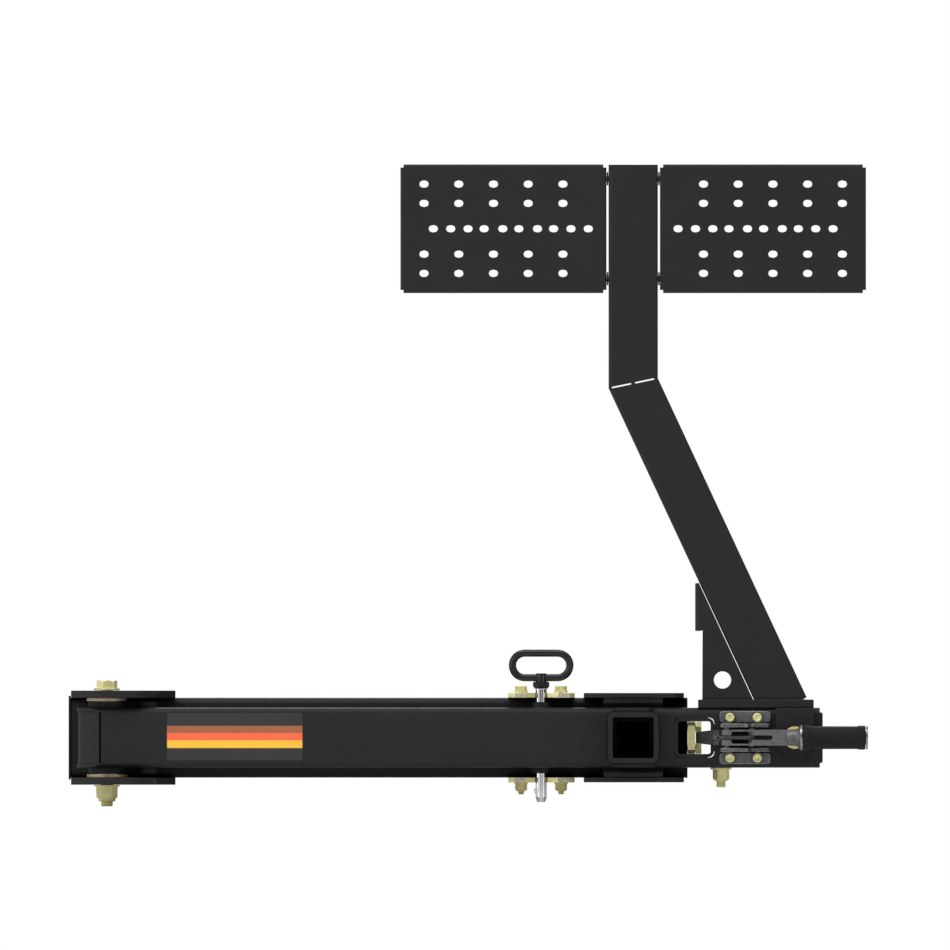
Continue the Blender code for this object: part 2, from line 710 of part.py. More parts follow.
def make_swing_arm():
    outer = rounded_rectangle((ARM_MID, 0), ARM_HALF, ARM_HALF, TUBE_CORNER)
    inner_half = ARM_HALF - TUBE_WALL
    inner = rounded_rectangle((ARM_MID, 0), inner_half, inner_half, TUBE_CORNER - TUBE_WALL)
    mesh = plate_mesh([outer, inner], PIVOT_X - ARM_HALF, ARM_RIGHT, "x")
    arm = add_object("swing_arm", mesh, "powder_coat", "arm_pivot")
    cut(arm, round_end_cutter())
    cut(arm, box_mesh((PIVOT_X - ARM_SIZE, ARM_FRONT - 0.01, -inner_half),
                      (ARM_WALL_START, ARM_BACK + 0.01, inner_half)))
    for x, radius in ((PIVOT_X, PIVOT_SLEEVE_RADIUS), (PIVOT_X + HOLD_OPEN_ARM, SLEEVE_RADIUS),
                      (LOCK_X, SLEEVE_RADIUS), (MAST_BOLT_X, HALF_INCH_RADIUS)):
        cut(arm, rod_mesh((x, ARM_MID, 0), radius + GAP, -0.06, 0.06, "z", LARGE_ROUND))
    opening = rounded_rectangle((0, 0), RECEIVER_HALF + RECEIVER_SIDE_GAP, RECEIVER_HALF + GAP,
                                TUBE_CORNER)
    cut(arm, plate_mesh([opening], ARM_FRONT - 0.01, ARM_BACK + 0.01, "y"))
    window = WINDOW_HALF + GAP
    cut(arm, plate_mesh([rounded_rectangle((WINDOW_X, 0), window, window, WINDOW_HOLE_CORNER)],
                        ARM_FRONT - 0.01, ARM_BACK + 0.01, "y"))
    cut(arm, rod_mesh((TAB_X, 0, 0), HALF_INCH_RADIUS + GAP, ARM_FRONT - 0.01, ARM_BACK + 0.01, "y"))
    for x in LATCH_BOLT_X:
        for side in (-1, 1):
            cut(arm, rod_mesh((x, 0, side * LATCH_BOLT_Z), 0.0033, ARM_FRONT - 0.005,
                              ARM_FRONT + 0.012, "y", SMALL_ROUND))


def make_end_wrap():
    inner_radius = WRAP_RADIUS - WRAP_THICK
    reach = math.degrees(math.acos((PIVOT_X - ARM_WALL_START + WRAP_GAP) / WRAP_RADIUS))
    outline = (arc((PIVOT_X, ARM_MID), WRAP_RADIUS, 180 - reach, 180 + reach, 14)
               + arc((PIVOT_X, ARM_MID), inner_radius, 180 + reach, 180 - reach, 14))
    height = ARM_HALF - TUBE_WALL - GAP
    mesh = plate_mesh([outline], -height, height, "z")
    add_object("arm_end_wrap", mesh, "powder_coat", "arm_pivot")


def make_sleeves():
    reach = BEAM_HALF_HEIGHT - THRUST_WASHER_THICK - 2 * GAP
    centre = (PIVOT_X, ARM_MID, 0)
    sleeve = washer(centre, "z", -reach, reach, PIVOT_SLEEVE_RADIUS, PIVOT_SLEEVE_BORE, LARGE_ROUND)
    add_object("pivot_sleeve", sleeve, "powder_coat", "arm_pivot")
    bush = washer(centre, "z", -reach, reach, PIVOT_SLEEVE_BORE - GAP,
                  PIVOT_SPACER_RADIUS + RUNNING_CLEARANCE)
    add_object("pivot_bushing", bush, "bronze", "arm_pivot")
    for name, x in (("hold_open_sleeve", PIVOT_X + HOLD_OPEN_ARM), ("lock_pin_sleeve", LOCK_X)):
        tube = washer((x, ARM_MID, 0), "z", -SLEEVE_HALF, SLEEVE_HALF, SLEEVE_RADIUS, SLEEVE_BORE)
        sleeve = add_object(name, tube, "powder_coat", "arm_pivot")
        if x == LOCK_X:
            cut(sleeve, ball_groove(-0.06, 0.06))


def make_receiver():
    outer = rounded_rectangle((0, 0), RECEIVER_HALF, RECEIVER_HALF, TUBE_CORNER)
    inner = rounded_rectangle((0, 0), RECEIVER_BORE, RECEIVER_BORE, 0.003, 3)
    mesh = plate_mesh([outer, inner], RECEIVER_FRONT, ARM_BACK, "y")
    tube = add_object("receiver_tube", mesh, "powder_coat", "arm_pivot")
    cut(tube, rod_mesh((0, RECEIVER_FRONT + RECEIVER_PIN_SETBACK, 0), HITCH_PIN_RADIUS, -0.04, 0.04, "x"))


def make_receiver_plates():
    low = RECEIVER_HALF + GAP
    wide = 0.0273
    narrow = 0.0200
    front = RECEIVER_FRONT + 0.006
    back = ARM_FRONT - GAP
    outline = [(-wide, back), (-wide, back - 0.012), (-narrow, front), (narrow, front),
               (wide, back - 0.012), (wide, back)]
    mesh = plate_mesh([outline], low, low + RECEIVER_PLATE_THICK, "z")
    other = mirrored(mesh, 2)
    add_object("receiver_plate_top", mesh, "powder_coat", "arm_pivot")
    add_object("receiver_plate_bottom", other, "powder_coat", "arm_pivot")


def make_window_liner():
    outer = rounded_rectangle((WINDOW_X, 0), WINDOW_HALF, WINDOW_HALF, WINDOW_CORNER)
    inner = rounded_rectangle((WINDOW_X, 0), WINDOW_HALF - TUBE_WALL, WINDOW_HALF - TUBE_WALL, 0.003, 3)
    mesh = plate_mesh([outer, inner], ARM_FRONT, ARM_BACK, "y")
    add_object("latch_window_liner", mesh, "powder_coat", "arm_pivot")


def make_end_cap():
    half = END_CAP_HALF
    mesh = box_mesh((ARM_RIGHT - 0.016, ARM_MID - half, -half),
                    (ARM_RIGHT + 0.004, ARM_MID + half, half), 0.002)
    add_object("arm_end_cap", mesh, "plastic", "arm_pivot")


# ---------------------------------------------------------------- arm: mast and its foot
def mast_x(z, side):
    """The x of the tilted mast's left (-1) or right (+1) side at a height."""
    foot = MAST_LEFT_FOOT if side < 0 else MAST_RIGHT_FOOT
    bend = MAST_BEND_LEFT if side < 0 else MAST_BEND_RIGHT
    share = (z - MAST_FOOT_Z) / (bend - MAST_FOOT_Z)
    return foot + (side * MAST_HALF - foot) * share


def mast_outline(inset):
    """The bent mast from the front, pulled in by inset on its two long sides and its top."""
    tilt = math.atan2(MAST_LEFT_FOOT + MAST_HALF, MAST_BEND_LEFT - MAST_FOOT_Z)
    lean = inset / math.cos(tilt)
    rise = inset * math.tan(tilt / 2)
    foot = MAST_FOOT_Z - (0.01 if inset else 0)
    drift = (MAST_FOOT_Z - foot) * math.tan(tilt)
    half = MAST_HALF - inset
    top = MAST_TOP - inset
    return [(MAST_LEFT_FOOT + drift + lean, foot), (MAST_RIGHT_FOOT + drift - lean, foot),
            (half, MAST_BEND_RIGHT - rise), (half, top), (-half, top),
            (-half, MAST_BEND_LEFT + rise)]


def make_mast():
    mesh = plate_mesh([mast_outline(0)], ARM_MID - MAST_DEPTH_HALF, ARM_MID + MAST_DEPTH_HALF, "y")
    bm = bmesh.new()
    bm.from_mesh(mesh)
    bmesh.ops.dissolve_limit(bm, angle_limit=0.01, verts=bm.verts, edges=bm.edges)
    folds = []
    for edge in bm.edges:
        start, end = (vert.co for vert in edge.verts)
        if abs(start.y - end.y) < 1e-5 and abs(start.z - end.z) > 0.02:
            folds.append(edge)
    bmesh.ops.bevel(bm, geom=folds, offset=0.0045, segments=3, profile=0.5, affect="EDGES")
    mast = add_object("mast", mesh_from(bm, "mast"), "powder_coat", "arm_pivot")
    inner_depth = MAST_DEPTH_HALF - MAST_WALL
    cut(mast, plate_mesh([mast_outline(MAST_WALL)], ARM_MID - inner_depth, ARM_MID + inner_depth, "y"))
    mitre = math.atan2(MAST_BEND_RIGHT - MAST_BEND_LEFT, 2 * MAST_HALF)
    middle = (MAST_BEND_LEFT + MAST_BEND_RIGHT) / 2
    for along in (-0.0152, 0.0150):
        slit = box_mesh((along - 0.0124, ARM_FRONT, -0.0009), (along + 0.0124, ARM_BACK, 0.0009))
        turn = Matrix.Translation((0, 0, middle)) @ Matrix.Rotation(-mitre, 4, "Y")
        slit.transform(turn)
        cut(mast, slit)
    notch = [(mast_x(0.053, 1) + 0.003, 0.0535), (0.2175, MAST_FOOT_Z), (0.2175, 0.045), (0.24, 0.045)]
    cut(mast, plate_mesh([notch], ARM_FRONT, ARM_BACK, "y"))
    for side in (-1, 1):
        ends = sorted((side * 0.02, side * 0.04))
        cut_gear_bolt_holes(mast, ends)


def cut_gear_bolt_holes(obj, ends):
    for rise in (-GEAR_BOLT_RISE, GEAR_BOLT_RISE):
        centre = (0, GEAR_BOLT_Y, GEAR_Z + rise)
        cut(obj, rod_mesh(centre, SMALL_BOLT_RADIUS + GAP, *ends, "x", SMALL_ROUND))


def gusset_outline():
    gap = 0.0016
    tab_top = 0.1968
    tab_low = 0.1376
    return [(0.0892, MAST_FOOT_Z), (mast_x(MAST_FOOT_Z, -1) - gap, MAST_FOOT_Z),
            (mast_x(tab_top, -1) - gap, tab_top), (0.0801, tab_top), (0.0801, tab_low),
            (0.0892, tab_low)]


def make_gusset():
    """Sheet folded into a U: two cheeks, joined by a web down the upper tab's left edge."""
    cheek = MAST_DEPTH_HALF - 0.0008
    outline = gusset_outline()
    tab_left, tab_top = outline[3]
    tab_low = outline[4][1]
    sheets = []
    for side in (-1, 1):
        ends = sorted((ARM_MID + side * cheek, ARM_MID + side * (cheek - GUSSET_SHEET)))
        sheets.append(plate_mesh([outline], *ends, "y"))
    reach = cheek - GUSSET_SHEET / 2
    web = box_mesh((tab_left, ARM_MID - reach, tab_low), (tab_left + GUSSET_SHEET, ARM_MID + reach, tab_top))
    bm = bmesh.new()
    bm.from_mesh(fused_mesh(*sheets, web))
    bmesh.ops.dissolve_limit(bm, angle_limit=0.01, verts=bm.verts, edges=bm.edges)
    folds = []
    for edge in bm.edges:
        start, end = (vert.co for vert in edge.verts)
        upright = abs(start.z - end.z) > 0.9 * (tab_top - tab_low)
        at_fold = abs(start.x - tab_left) < 1e-5 and abs(end.x - tab_left) < 1e-5
        if upright and at_fold and abs(abs(start.y - ARM_MID) - cheek) < 1e-5:
            folds.append(edge)
    bmesh.ops.bevel(bm, geom=folds, offset=GUSSET_FOLD, segments=3, profile=0.5, affect="EDGES")
    gusset = add_object("mast_gusset", mesh_from(bm, "gusset"), "powder_coat", "arm_pivot")
    hole_x, hole_z = GUSSET_HOLE
    cut(gusset, rod_mesh((hole_x, ARM_MID, hole_z), GUSSET_HOLE_RADIUS, ARM_FRONT, ARM_BACK, "y",
                         LARGE_ROUND))


def make_mast_foot():
    mesh = box_mesh((BASE_PLATE_LEFT, ARM_FRONT, BASE_PLATE_LOW),
                    (BASE_PLATE_RIGHT, ARM_BACK, BASE_PLATE_HIGH), 0.0008)
    plate = add_object("mast_base_plate", mesh, "powder_coat", "arm_pivot")
    cut(plate, rod_mesh((MAST_BOLT_X, ARM_MID, 0), HALF_INCH_RADIUS + GAP, 0.03, 0.06, "z"))
    half = (0.2309 - 0.1828) / 2
    outline = arc((TAB_X, 0), TAB_RADIUS, 180, 360, 16) + [(TAB_X + half, BASE_PLATE_HIGH),
                                                          (TAB_X - half, BASE_PLATE_HIGH)]
    hole = circle((TAB_X, 0), HALF_INCH_RADIUS + GAP, ROUND)
    for name, low in (("mast_tab_front", ARM_FRONT - GAP - TAB_THICK), ("mast_tab_back", ARM_BACK + GAP)):
        tab = plate_mesh([outline, hole], low, low + TAB_THICK, "y")
        add_object(name, tab, "powder_coat", "arm_pivot")


def make_mast_bolts():
    corner = 0.0110
    head_high = 0.0080
    washer_thick = 0.0025
    nut_high = 0.0145
    top = BASE_PLATE_HIGH + GAP
    under = -ARM_HALF - GAP
    nut_top = under - washer_thick
    rings = [(top, top + washer_thick + 0.0002, 0.0135, ROUND), (under, nut_top - 0.0002, 0.0135, ROUND),
             (nut_top, nut_top - nut_high, corner, 6)]
    seat = top + washer_thick
    bolt = hex_bolt((MAST_BOLT_X, ARM_MID, 0), "z", seat, 1, corner, head_high, HALF_INCH_RADIUS,
                    seat + 0.0634, rings)
    add_object("mast_bolt_upright", bolt, "yellow_zinc", "arm_pivot")
    front = ARM_FRONT - 2 * GAP - TAB_THICK
    back = ARM_BACK + 2 * GAP + TAB_THICK
    nut_face = back + washer_thick
    rings = [(front, front - washer_thick - 0.0002, 0.01425, ROUND),
             (back, nut_face + 0.0002, 0.01425, ROUND), (nut_face, nut_face + nut_high, corner, 6)]
    seat = front - washer_thick
    bolt = hex_bolt((TAB_X, 0, 0), "y", seat, -1, corner, head_high, HALF_INCH_RADIUS,
                    nut_face + nut_high + 0.006 - seat, rings)
    add_object("mast_bolt_cross", bolt, "yellow_zinc", "arm_pivot")


# ---------------------------------------------------------------- arm: gear plates
def gear_slots():
    """Slot centres, measured from the plate's outer edge and from its middle height."""
    spots = []
    for column in range(5):
        for height in ROW_HEIGHTS:
            for side in (-1, 1):
                spots.append((FIRST_COLUMN + column * COLUMN_PITCH, side * height))
    for offset in CENTRE_ROW:
        spots += [(CENTRE_ROW_MID - offset, 0), (CENTRE_ROW_MID + offset, 0)]
    return spots


def gear_plate_shell():
    """The left plate's outside surface: a face with four edges folded back."""
    outer, inner = -GEAR_INNER - GEAR_WIDTH, -GEAR_INNER
    low, high = GEAR_Z - GEAR_HEIGHT / 2, GEAR_Z + GEAR_HEIGHT / 2
    r = GEAR_RELIEF
    ring = [(outer + r, low), (inner - r, low), (inner - r, low + r), (inner, low + r),
            (inner, high - r), (inner - r, high - r), (inner - r, high), (outer + r, high),
            (outer + r, high - r), (outer, high - r), (outer, low + r), (outer + r, low + r)]
    bm = bmesh.new()
    front = [bm.verts.new((x, GEAR_FRONT, z)) for x, z in ring]
    bm.faces.new(front)
    for start in (0, 3, 6, 9):
        first, second = front[start], front[start + 1]
        back = [bm.verts.new(vert.co + Vector((0, GEAR_FLANGE, 0))) for vert in (second, first)]
        bm.faces.new((second, first, back[1], back[0]))
    folds = [edge for edge in bm.edges if len(edge.link_faces) == 2]
    bmesh.ops.bevel(bm, geom=folds, offset=0.0035, segments=3, profile=0.5, affect="EDGES")
    bmesh.ops.recalc_face_normals(bm, faces=bm.faces)
    face = max(bm.faces, key=lambda each: each.calc_area())
    if face.normal.y > 0:
        bmesh.ops.reverse_faces(bm, faces=bm.faces[:])
    mesh = bpy.data.meshes.new("gear_plate")
    bm.to_mesh(mesh)
    bm.free()
    return mesh


def gear_slot_cutter():
    outer = -GEAR_INNER - GEAR_WIDTH
    holes = []
    for along, height in gear_slots():
        outline = stadium((outer + along, GEAR_Z + height), SLOT_LENGTH / 2, SLOT_RADIUS, 4)
        holes.append(plate_mesh([outline], GEAR_FRONT - 0.004, GEAR_FRONT + 0.008, "y"))
    return joined(holes)


def make_gear_plates():
    shell, slots = gear_plate_shell(), gear_slot_cutter()
    for name, side in (("gear_plate_left", -1), ("gear_plate_right", 1)):
        mesh = shell.copy()
        cutter = slots.copy()
        if side > 0:
            for each in (mesh, cutter):
                each.transform(Matrix.Scale(-1, 4, (1, 0, 0)))
                each.flip_normals()
        plate = add_object(name, mesh, "powder_coat", "arm_pivot")
        sheet = plate.modifiers.new("sheet", "SOLIDIFY")
        sheet.thickness = GEAR_SHEET
        sheet.offset = -1
        sheet.use_even_offset = True
        cut(plate, cutter)
        flange = sorted((side * (GEAR_INNER - 0.002), side * (GEAR_INNER + GEAR_SHEET + 0.002)))
        cut_gear_bolt_holes(plate, flange)


def make_gear_hardware():
    """Each bolt goes through the plate's inner flange, a spacer and the mast's side."""
    for word, side in (("left", -1), ("right", 1)):
        for level, rise in (("low", -GEAR_BOLT_RISE), ("high", GEAR_BOLT_RISE)):
            seat = side * (GEAR_INNER + GEAR_SHEET + GAP)
            spacer = (side * (MAST_HALF + GAP), side * (GEAR_INNER - GAP), 0.0085, SMALL_ROUND)
            bolt = hex_bolt((0, GEAR_BOLT_Y, GEAR_Z + rise), "x", seat, side, 0.0072, 0.0055,
                            SMALL_BOLT_RADIUS, 0.016, [spacer])
            add_object(f"gear_bolt_{word}_{level}", bolt, "yellow_zinc", "arm_pivot")


# ---------------------------------------------------------------- arm: latch base
def rivet_mesh(side):
    """A stub rivet through one ear, which leaves the middle free for the link."""
    profile = [(0.0, EAR_HIGH + 0.0022), (0.0050, EAR_HIGH + 0.0022), (0.0065, EAR_HIGH + 0.0012),
               (0.0065, EAR_HIGH - 0.0005), (0.0040, EAR_HIGH - 0.0005), (0.0040, 0.0036), (0.0, 0.0036)]
    stub = turned_mesh((LATCH_PIVOT.x, LATCH_PIVOT.y, 0), profile, "z", SMALL_ROUND)
    return stub if side > 0 else mirrored(stub, 2)


def make_latch_base():
    back = ARM_FRONT - GAP
    front = back - LATCH_FLANGE
    left = LATCH_BASE_LEFT
    right = LATCH_BASE_RIGHT
    for name, side in (("latch_base_upper", 1), ("latch_base_lower", -1)):
        middle = side * (LATCH_BASE_HALF + EAR_LOW) / 2
        half = (LATCH_BASE_HALF - EAR_LOW) / 2
        flange = rounded_rectangle(((left + right) / 2, middle), (right - left) / 2, half, 0.004, 3)
        holes = [circle((x, side * LATCH_BOLT_Z), 0.0034, SMALL_ROUND) for x in LATCH_BOLT_X]
        foot = plate_mesh([flange] + holes, front, back, "y")
        ear = disc_hull([(LATCH_PIVOT.x, LATCH_PIVOT.y, 0.0085), (left + 0.006, back - 0.0045, 0.0042),
                         (right - 0.006, back - 0.0045, 0.0042)], 5)
        ends = sorted((side * EAR_LOW, side * EAR_HIGH))
        wall = plate_mesh([ear], *ends, "z")
        add_object(name, fused_mesh(foot, wall, rivet_mesh(side)), "blasted_steel", "arm_pivot")


def make_latch_base_bolts():
    seat = ARM_FRONT - 2 * GAP - LATCH_FLANGE
    for level, side in (("upper", 1), ("lower", -1)):
        for word, x in zip(("left", "right"), LATCH_BOLT_X):
            bolt = hex_bolt((x, 0, side * LATCH_BOLT_Z), "y", seat, -1, 0.0080, 0.0050, 0.0030,
                            0.014, (), 0.001)
            add_object(f"latch_bolt_{level}_{word}", bolt, "yellow_zinc", "arm_pivot")


# ---------------------------------------------------------------- latch handle and hook
def make_lever():
    outline = disc_hull([(LATCH_PIVOT.x, LATCH_PIVOT.y, 0.0080), (LINK_PIVOT.x, LINK_PIVOT.y, 0.0070),
                         (NECK_X, GRIP_Y, 0.0060)], 5)
    mesh = plate_mesh([outline], -LEVER_HALF, LEVER_HALF, "z")
    lever = add_object("latch_lever", mesh, "blasted_steel", "latch_pivot")
    slot = stadium((0.1386, 0), 0.040, LEVER_SLOT, 5)
    cut(lever, plate_mesh([slot], -0.33, -0.26, "y"))
    cut(lever, box_mesh((0.09, -0.33, -LEVER_SLOT), (0.11, -0.26, LEVER_SLOT)))
    cut(lever, rod_mesh(LATCH_PIVOT, LINK_BORE, -0.02, 0.02, "z", SMALL_ROUND))
    cut(lever, rod_mesh(LINK_PIVOT, LINK_BORE, -0.02, 0.02, "z", SMALL_ROUND))


def make_handle_rod():
    """Neck, flared ring and the rod inside the grip, turned about the grip's axis."""
    profile = [(0.0, 0.3006), (0.0085, 0.3006), (0.0085, 0.2168), (0.01625, 0.2166),
               (0.01625, 0.2130), (0.0120, 0.2105), (0.0105, 0.2084), (0.0, 0.2084)]
    rod = turned_mesh((0, GRIP_Y, 0), profile, "x", LARGE_ROUND)
    add_object("latch_handle_rod", rod, "blasted_steel", "latch_pivot")


def make_grip():
    profile = [(0.0136, 0.2990), (0.0147, 0.2978), (0.0147, 0.2262), (0.01565, 0.2256),
               (0.01565, 0.2180), (0.0150, 0.2172), (0.0088, 0.2172), (0.0088, 0.2990)]
    grip = turned_mesh((0, GRIP_Y, 0), profile, "x", LARGE_ROUND)
    add_object("latch_grip", grip, "rubber", "latch_pivot")


def make_link_pin():
    mesh = rod_mesh(LINK_PIVOT, 0.0040, -0.0118, 0.0118, "z", SMALL_ROUND)
    add_object("latch_link_pin", mesh, "blasted_steel", "latch_pivot")


def hook_plate(sections, thick):
    """The hook's slanting plate, from (x, y, half width) sections that start at its tip."""
    bm = bmesh.new()
    rings = []
    for x, y, half in sections:
        ring = [bm.verts.new((x, y - thick / 2, -half)), bm.verts.new((x, y - thick / 2, half)),
                bm.verts.new((x, y + thick / 2, half)), bm.verts.new((x, y + thick / 2, -half))]
        rings.append(ring)
    for first, second in zip(rings, rings[1:]):
        for i in range(4):
            bm.faces.new((first[i], first[(i + 1) % 4], second[(i + 1) % 4], second[i]))
    bm.faces.new(rings[0][::-1])
    bm.faces.new(rings[-1])
    return mesh_from(bm, "hook")


def make_hook():
    sections = [(HOOK_TIP.x, HOOK_TIP.y, 0.0069), (0.0860, -0.2510, 0.0078),
                (0.1010, -0.2790, 0.0096), (0.1100, -0.2875, 0.0098)]
    plate = hook_plate(sections, 0.0045)
    link = disc_hull([(0.1060, -0.2845, 0.0040), (LINK_PIVOT.x, LINK_PIVOT.y, 0.0070)], 5)
    link_mesh = plate_mesh([link, circle(LINK_PIVOT.xy, LINK_BORE, SMALL_ROUND)], -LINK_HALF, LINK_HALF, "z")
    hook = fused_mesh(plate, link_mesh)
    add_object("latch_hook", hook, "blasted_steel", "link_pivot")


# ---------------------------------------------------------------- lock pin
def make_lock_pin():
    profile = [(0.0, PIN_TOP), (PIN_RADIUS, PIN_TOP), (PIN_RADIUS, PIN_TIP + 0.006),
               (PIN_RADIUS - 0.0020, PIN_TIP), (0.0, PIN_TIP)]
    shaft_mesh = turned_mesh((LOCK_X, ARM_MID, 0), profile, "z", LARGE_ROUND)
    shaft = add_object("lock_pin_shaft", shaft_mesh, "chrome", "lock_pin_axis")
    ball = JOINT_POINTS["ball_axis"]
    pocket_end = ball.x + BALL_PROUD + BALL_RADIUS + GAP
    cut(shaft, rod_mesh(ball, BALL_RADIUS + GAP, ball.x - 0.006, pocket_end, "x", SMALL_ROUND))


def make_pin_handle():
    collar = [(0.0, 0.0824), (0.0074, 0.0824), (0.0074, 0.0720), (0.0105, 0.0720),
              (0.0105, 0.0652), (0.0085, PIN_TOP + GAP), (0.0, PIN_TOP + GAP)]
    hub = turned_mesh((LOCK_X, ARM_MID, 0), collar, "z", ROUND)
    loop_z = (HANDLE_TOP + HANDLE_BOTTOM) / 2
    end_radius = (HANDLE_TOP - HANDLE_BOTTOM) / 2 - HANDLE_BAR
    outline = stadium((LOCK_X, loop_z), HANDLE_HALF_WIDTH - HANDLE_BAR, end_radius, 8)
    curve = bpy.data.curves.new("loop", "CURVE")
    curve.dimensions = "3D"
    curve.bevel_depth = HANDLE_BAR
    curve.bevel_resolution = 3
    spline = curve.splines.new("POLY")
    spline.points.add(len(outline) - 1)
    for point, (x, z) in zip(spline.points, outline):
        point.co = (x, ARM_MID, z, 1)
    spline.use_cyclic_u = True
    holder = bpy.data.objects.new("loop", curve)
    CUTTERS.objects.link(holder)
    evaluated = holder.evaluated_get(bpy.context.evaluated_depsgraph_get())
    loop = bpy.data.meshes.new_from_object(evaluated)
    bpy.data.objects.remove(holder)
    add_object("lock_pin_handle", fused_mesh(hub, loop), "plastic", "lock_pin_axis")


def make_ball():
    bm = bmesh.new()
    bmesh.ops.create_uvsphere(bm, u_segments=12, v_segments=8, radius=BALL_RADIUS)
    bmesh.ops.translate(bm, vec=JOINT_POINTS["ball_axis"], verts=bm.verts)
    add_object("detent_ball", mesh_from(bm, "ball"), "chrome", "ball_axis")


# ---------------------------------------------------------------- assembly
def make_base():
    make_base_beam()
    make_end_plates()
    make_stinger()
    make_clevis_plates()
    make_pivot_hardware()
    make_cradle()
    make_wear_pads()
    make_pin_brackets()
    make_bracket_hardware()
    make_keeper()


def make_arm():
    make_swing_arm()
    make_end_wrap()
    make_sleeves()
    make_receiver()
    make_receiver_plates()
    make_window_liner()
    make_end_cap()
    make_mast()
    make_gusset()
    make_mast_foot()
    make_mast_bolts()
    make_gear_plates()
    make_gear_hardware()
    make_latch_base()
    make_latch_base_bolts()


def make_moving_pieces():
    make_lever()
    make_handle_rod()
    make_grip()
    make_link_pin()
    make_hook()
    make_lock_pin()
    make_pin_handle()
    make_ball()


make_base()
make_arm()
make_moving_pieces()
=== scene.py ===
"""Looks of a swing-away hitch carrier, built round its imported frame.

Each piece takes its place from the node it stands for.  Units are metres: +X runs from the
pivot to the latch, +Y towards the vehicle, +Z up.
"""
import json
import math

import bmesh
import bpy
from mathutils import Matrix, Vector


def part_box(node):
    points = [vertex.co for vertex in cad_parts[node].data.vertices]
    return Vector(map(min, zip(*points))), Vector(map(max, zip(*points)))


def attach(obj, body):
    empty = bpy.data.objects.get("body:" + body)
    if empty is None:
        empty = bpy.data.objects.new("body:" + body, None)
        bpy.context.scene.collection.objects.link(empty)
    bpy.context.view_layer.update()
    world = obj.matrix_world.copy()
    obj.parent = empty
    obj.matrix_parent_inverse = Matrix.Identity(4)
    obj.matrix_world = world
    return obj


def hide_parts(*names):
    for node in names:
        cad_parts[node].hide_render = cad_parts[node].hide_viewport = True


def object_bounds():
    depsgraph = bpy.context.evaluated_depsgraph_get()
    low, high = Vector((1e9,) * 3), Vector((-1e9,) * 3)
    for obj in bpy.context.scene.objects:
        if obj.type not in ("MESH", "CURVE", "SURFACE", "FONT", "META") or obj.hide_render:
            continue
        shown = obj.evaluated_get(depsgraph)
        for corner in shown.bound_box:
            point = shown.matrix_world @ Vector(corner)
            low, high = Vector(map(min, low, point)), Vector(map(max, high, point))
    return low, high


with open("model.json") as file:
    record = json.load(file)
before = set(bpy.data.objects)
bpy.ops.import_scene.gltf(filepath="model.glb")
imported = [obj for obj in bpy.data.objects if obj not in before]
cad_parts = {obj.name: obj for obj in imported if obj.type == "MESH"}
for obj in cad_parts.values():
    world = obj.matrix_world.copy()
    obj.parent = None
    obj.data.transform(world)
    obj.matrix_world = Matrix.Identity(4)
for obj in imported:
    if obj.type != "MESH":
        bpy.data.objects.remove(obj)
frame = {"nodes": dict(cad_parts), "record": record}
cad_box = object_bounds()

NODES = frame["nodes"]
BODY_OF = {node: body for body, nodes in frame["record"]["behaviour"]["bodies"].items()
           for node in nodes}
SLOT_OF = {part["node"]: part["material_slot"] for part in frame["record"]["subparts"]}


# ---------------------------------------------------------------- shaders
def add_node(tree, kind, **settings):
    node = tree.nodes.new(kind)
    for key, value in settings.items():
        setattr(node, key, value)
    return node


NOISE_ROUGHNESS = 0.6
WEAR_SCALE, LEAST_WEAR = 160.0, 0.25    # wear on rounded edges comes in patches


def noise(tree, coords, scale, detail, stretch=None):
    """A noise texture in object space; stretch squeezes it along some axes."""
    source = coords
    if stretch is not None:
        mapping = add_node(tree, "ShaderNodeMapping")
        mapping.inputs["Scale"].default_value = stretch
        tree.links.new(coords, mapping.inputs["Vector"])
        source = mapping.outputs["Vector"]
    texture = add_node(tree, "ShaderNodeTexNoise")
    texture.inputs["Scale"].default_value = scale
    texture.inputs["Detail"].default_value = detail
    texture.inputs["Roughness"].default_value = NOISE_ROUGHNESS
    tree.links.new(source, texture.inputs["Vector"])
    return texture.outputs["Fac"]


def spread(tree, value, low, high, out_low=0.0, out_high=1.0):
    """Stretch a value from low..high to out_low..out_high."""
    node = add_node(tree, "ShaderNodeMapRange")
    for key, number in (("From Min", low), ("From Max", high),
                        ("To Min", out_low), ("To Max", out_high)):
        node.inputs[key].default_value = number
    tree.links.new(value, node.inputs["Value"])
    return node.outputs["Result"]


def blended(tree, factor, first, second):
    """Mix two colours, each a tuple or another node's output."""
    colour_a, colour_b, colour_result = 6, 7, 2         # the mix node's sockets for colours
    node = add_node(tree, "ShaderNodeMix", data_type="RGBA")
    tree.links.new(factor, node.inputs["Factor"])
    for socket, colour in ((node.inputs[colour_a], first), (node.inputs[colour_b], second)):
        if isinstance(colour, tuple):
            socket.default_value = (*colour, 1)
        else:
            tree.links.new(colour, socket)
    return node.outputs[colour_result]


def product(tree, first, second):
    """Multiply the outputs of two nodes."""
    node = add_node(tree, "ShaderNodeMath", operation="MULTIPLY")
    tree.links.new(first, node.inputs[0])
    tree.links.new(second, node.inputs[1])
    return node.outputs[0]


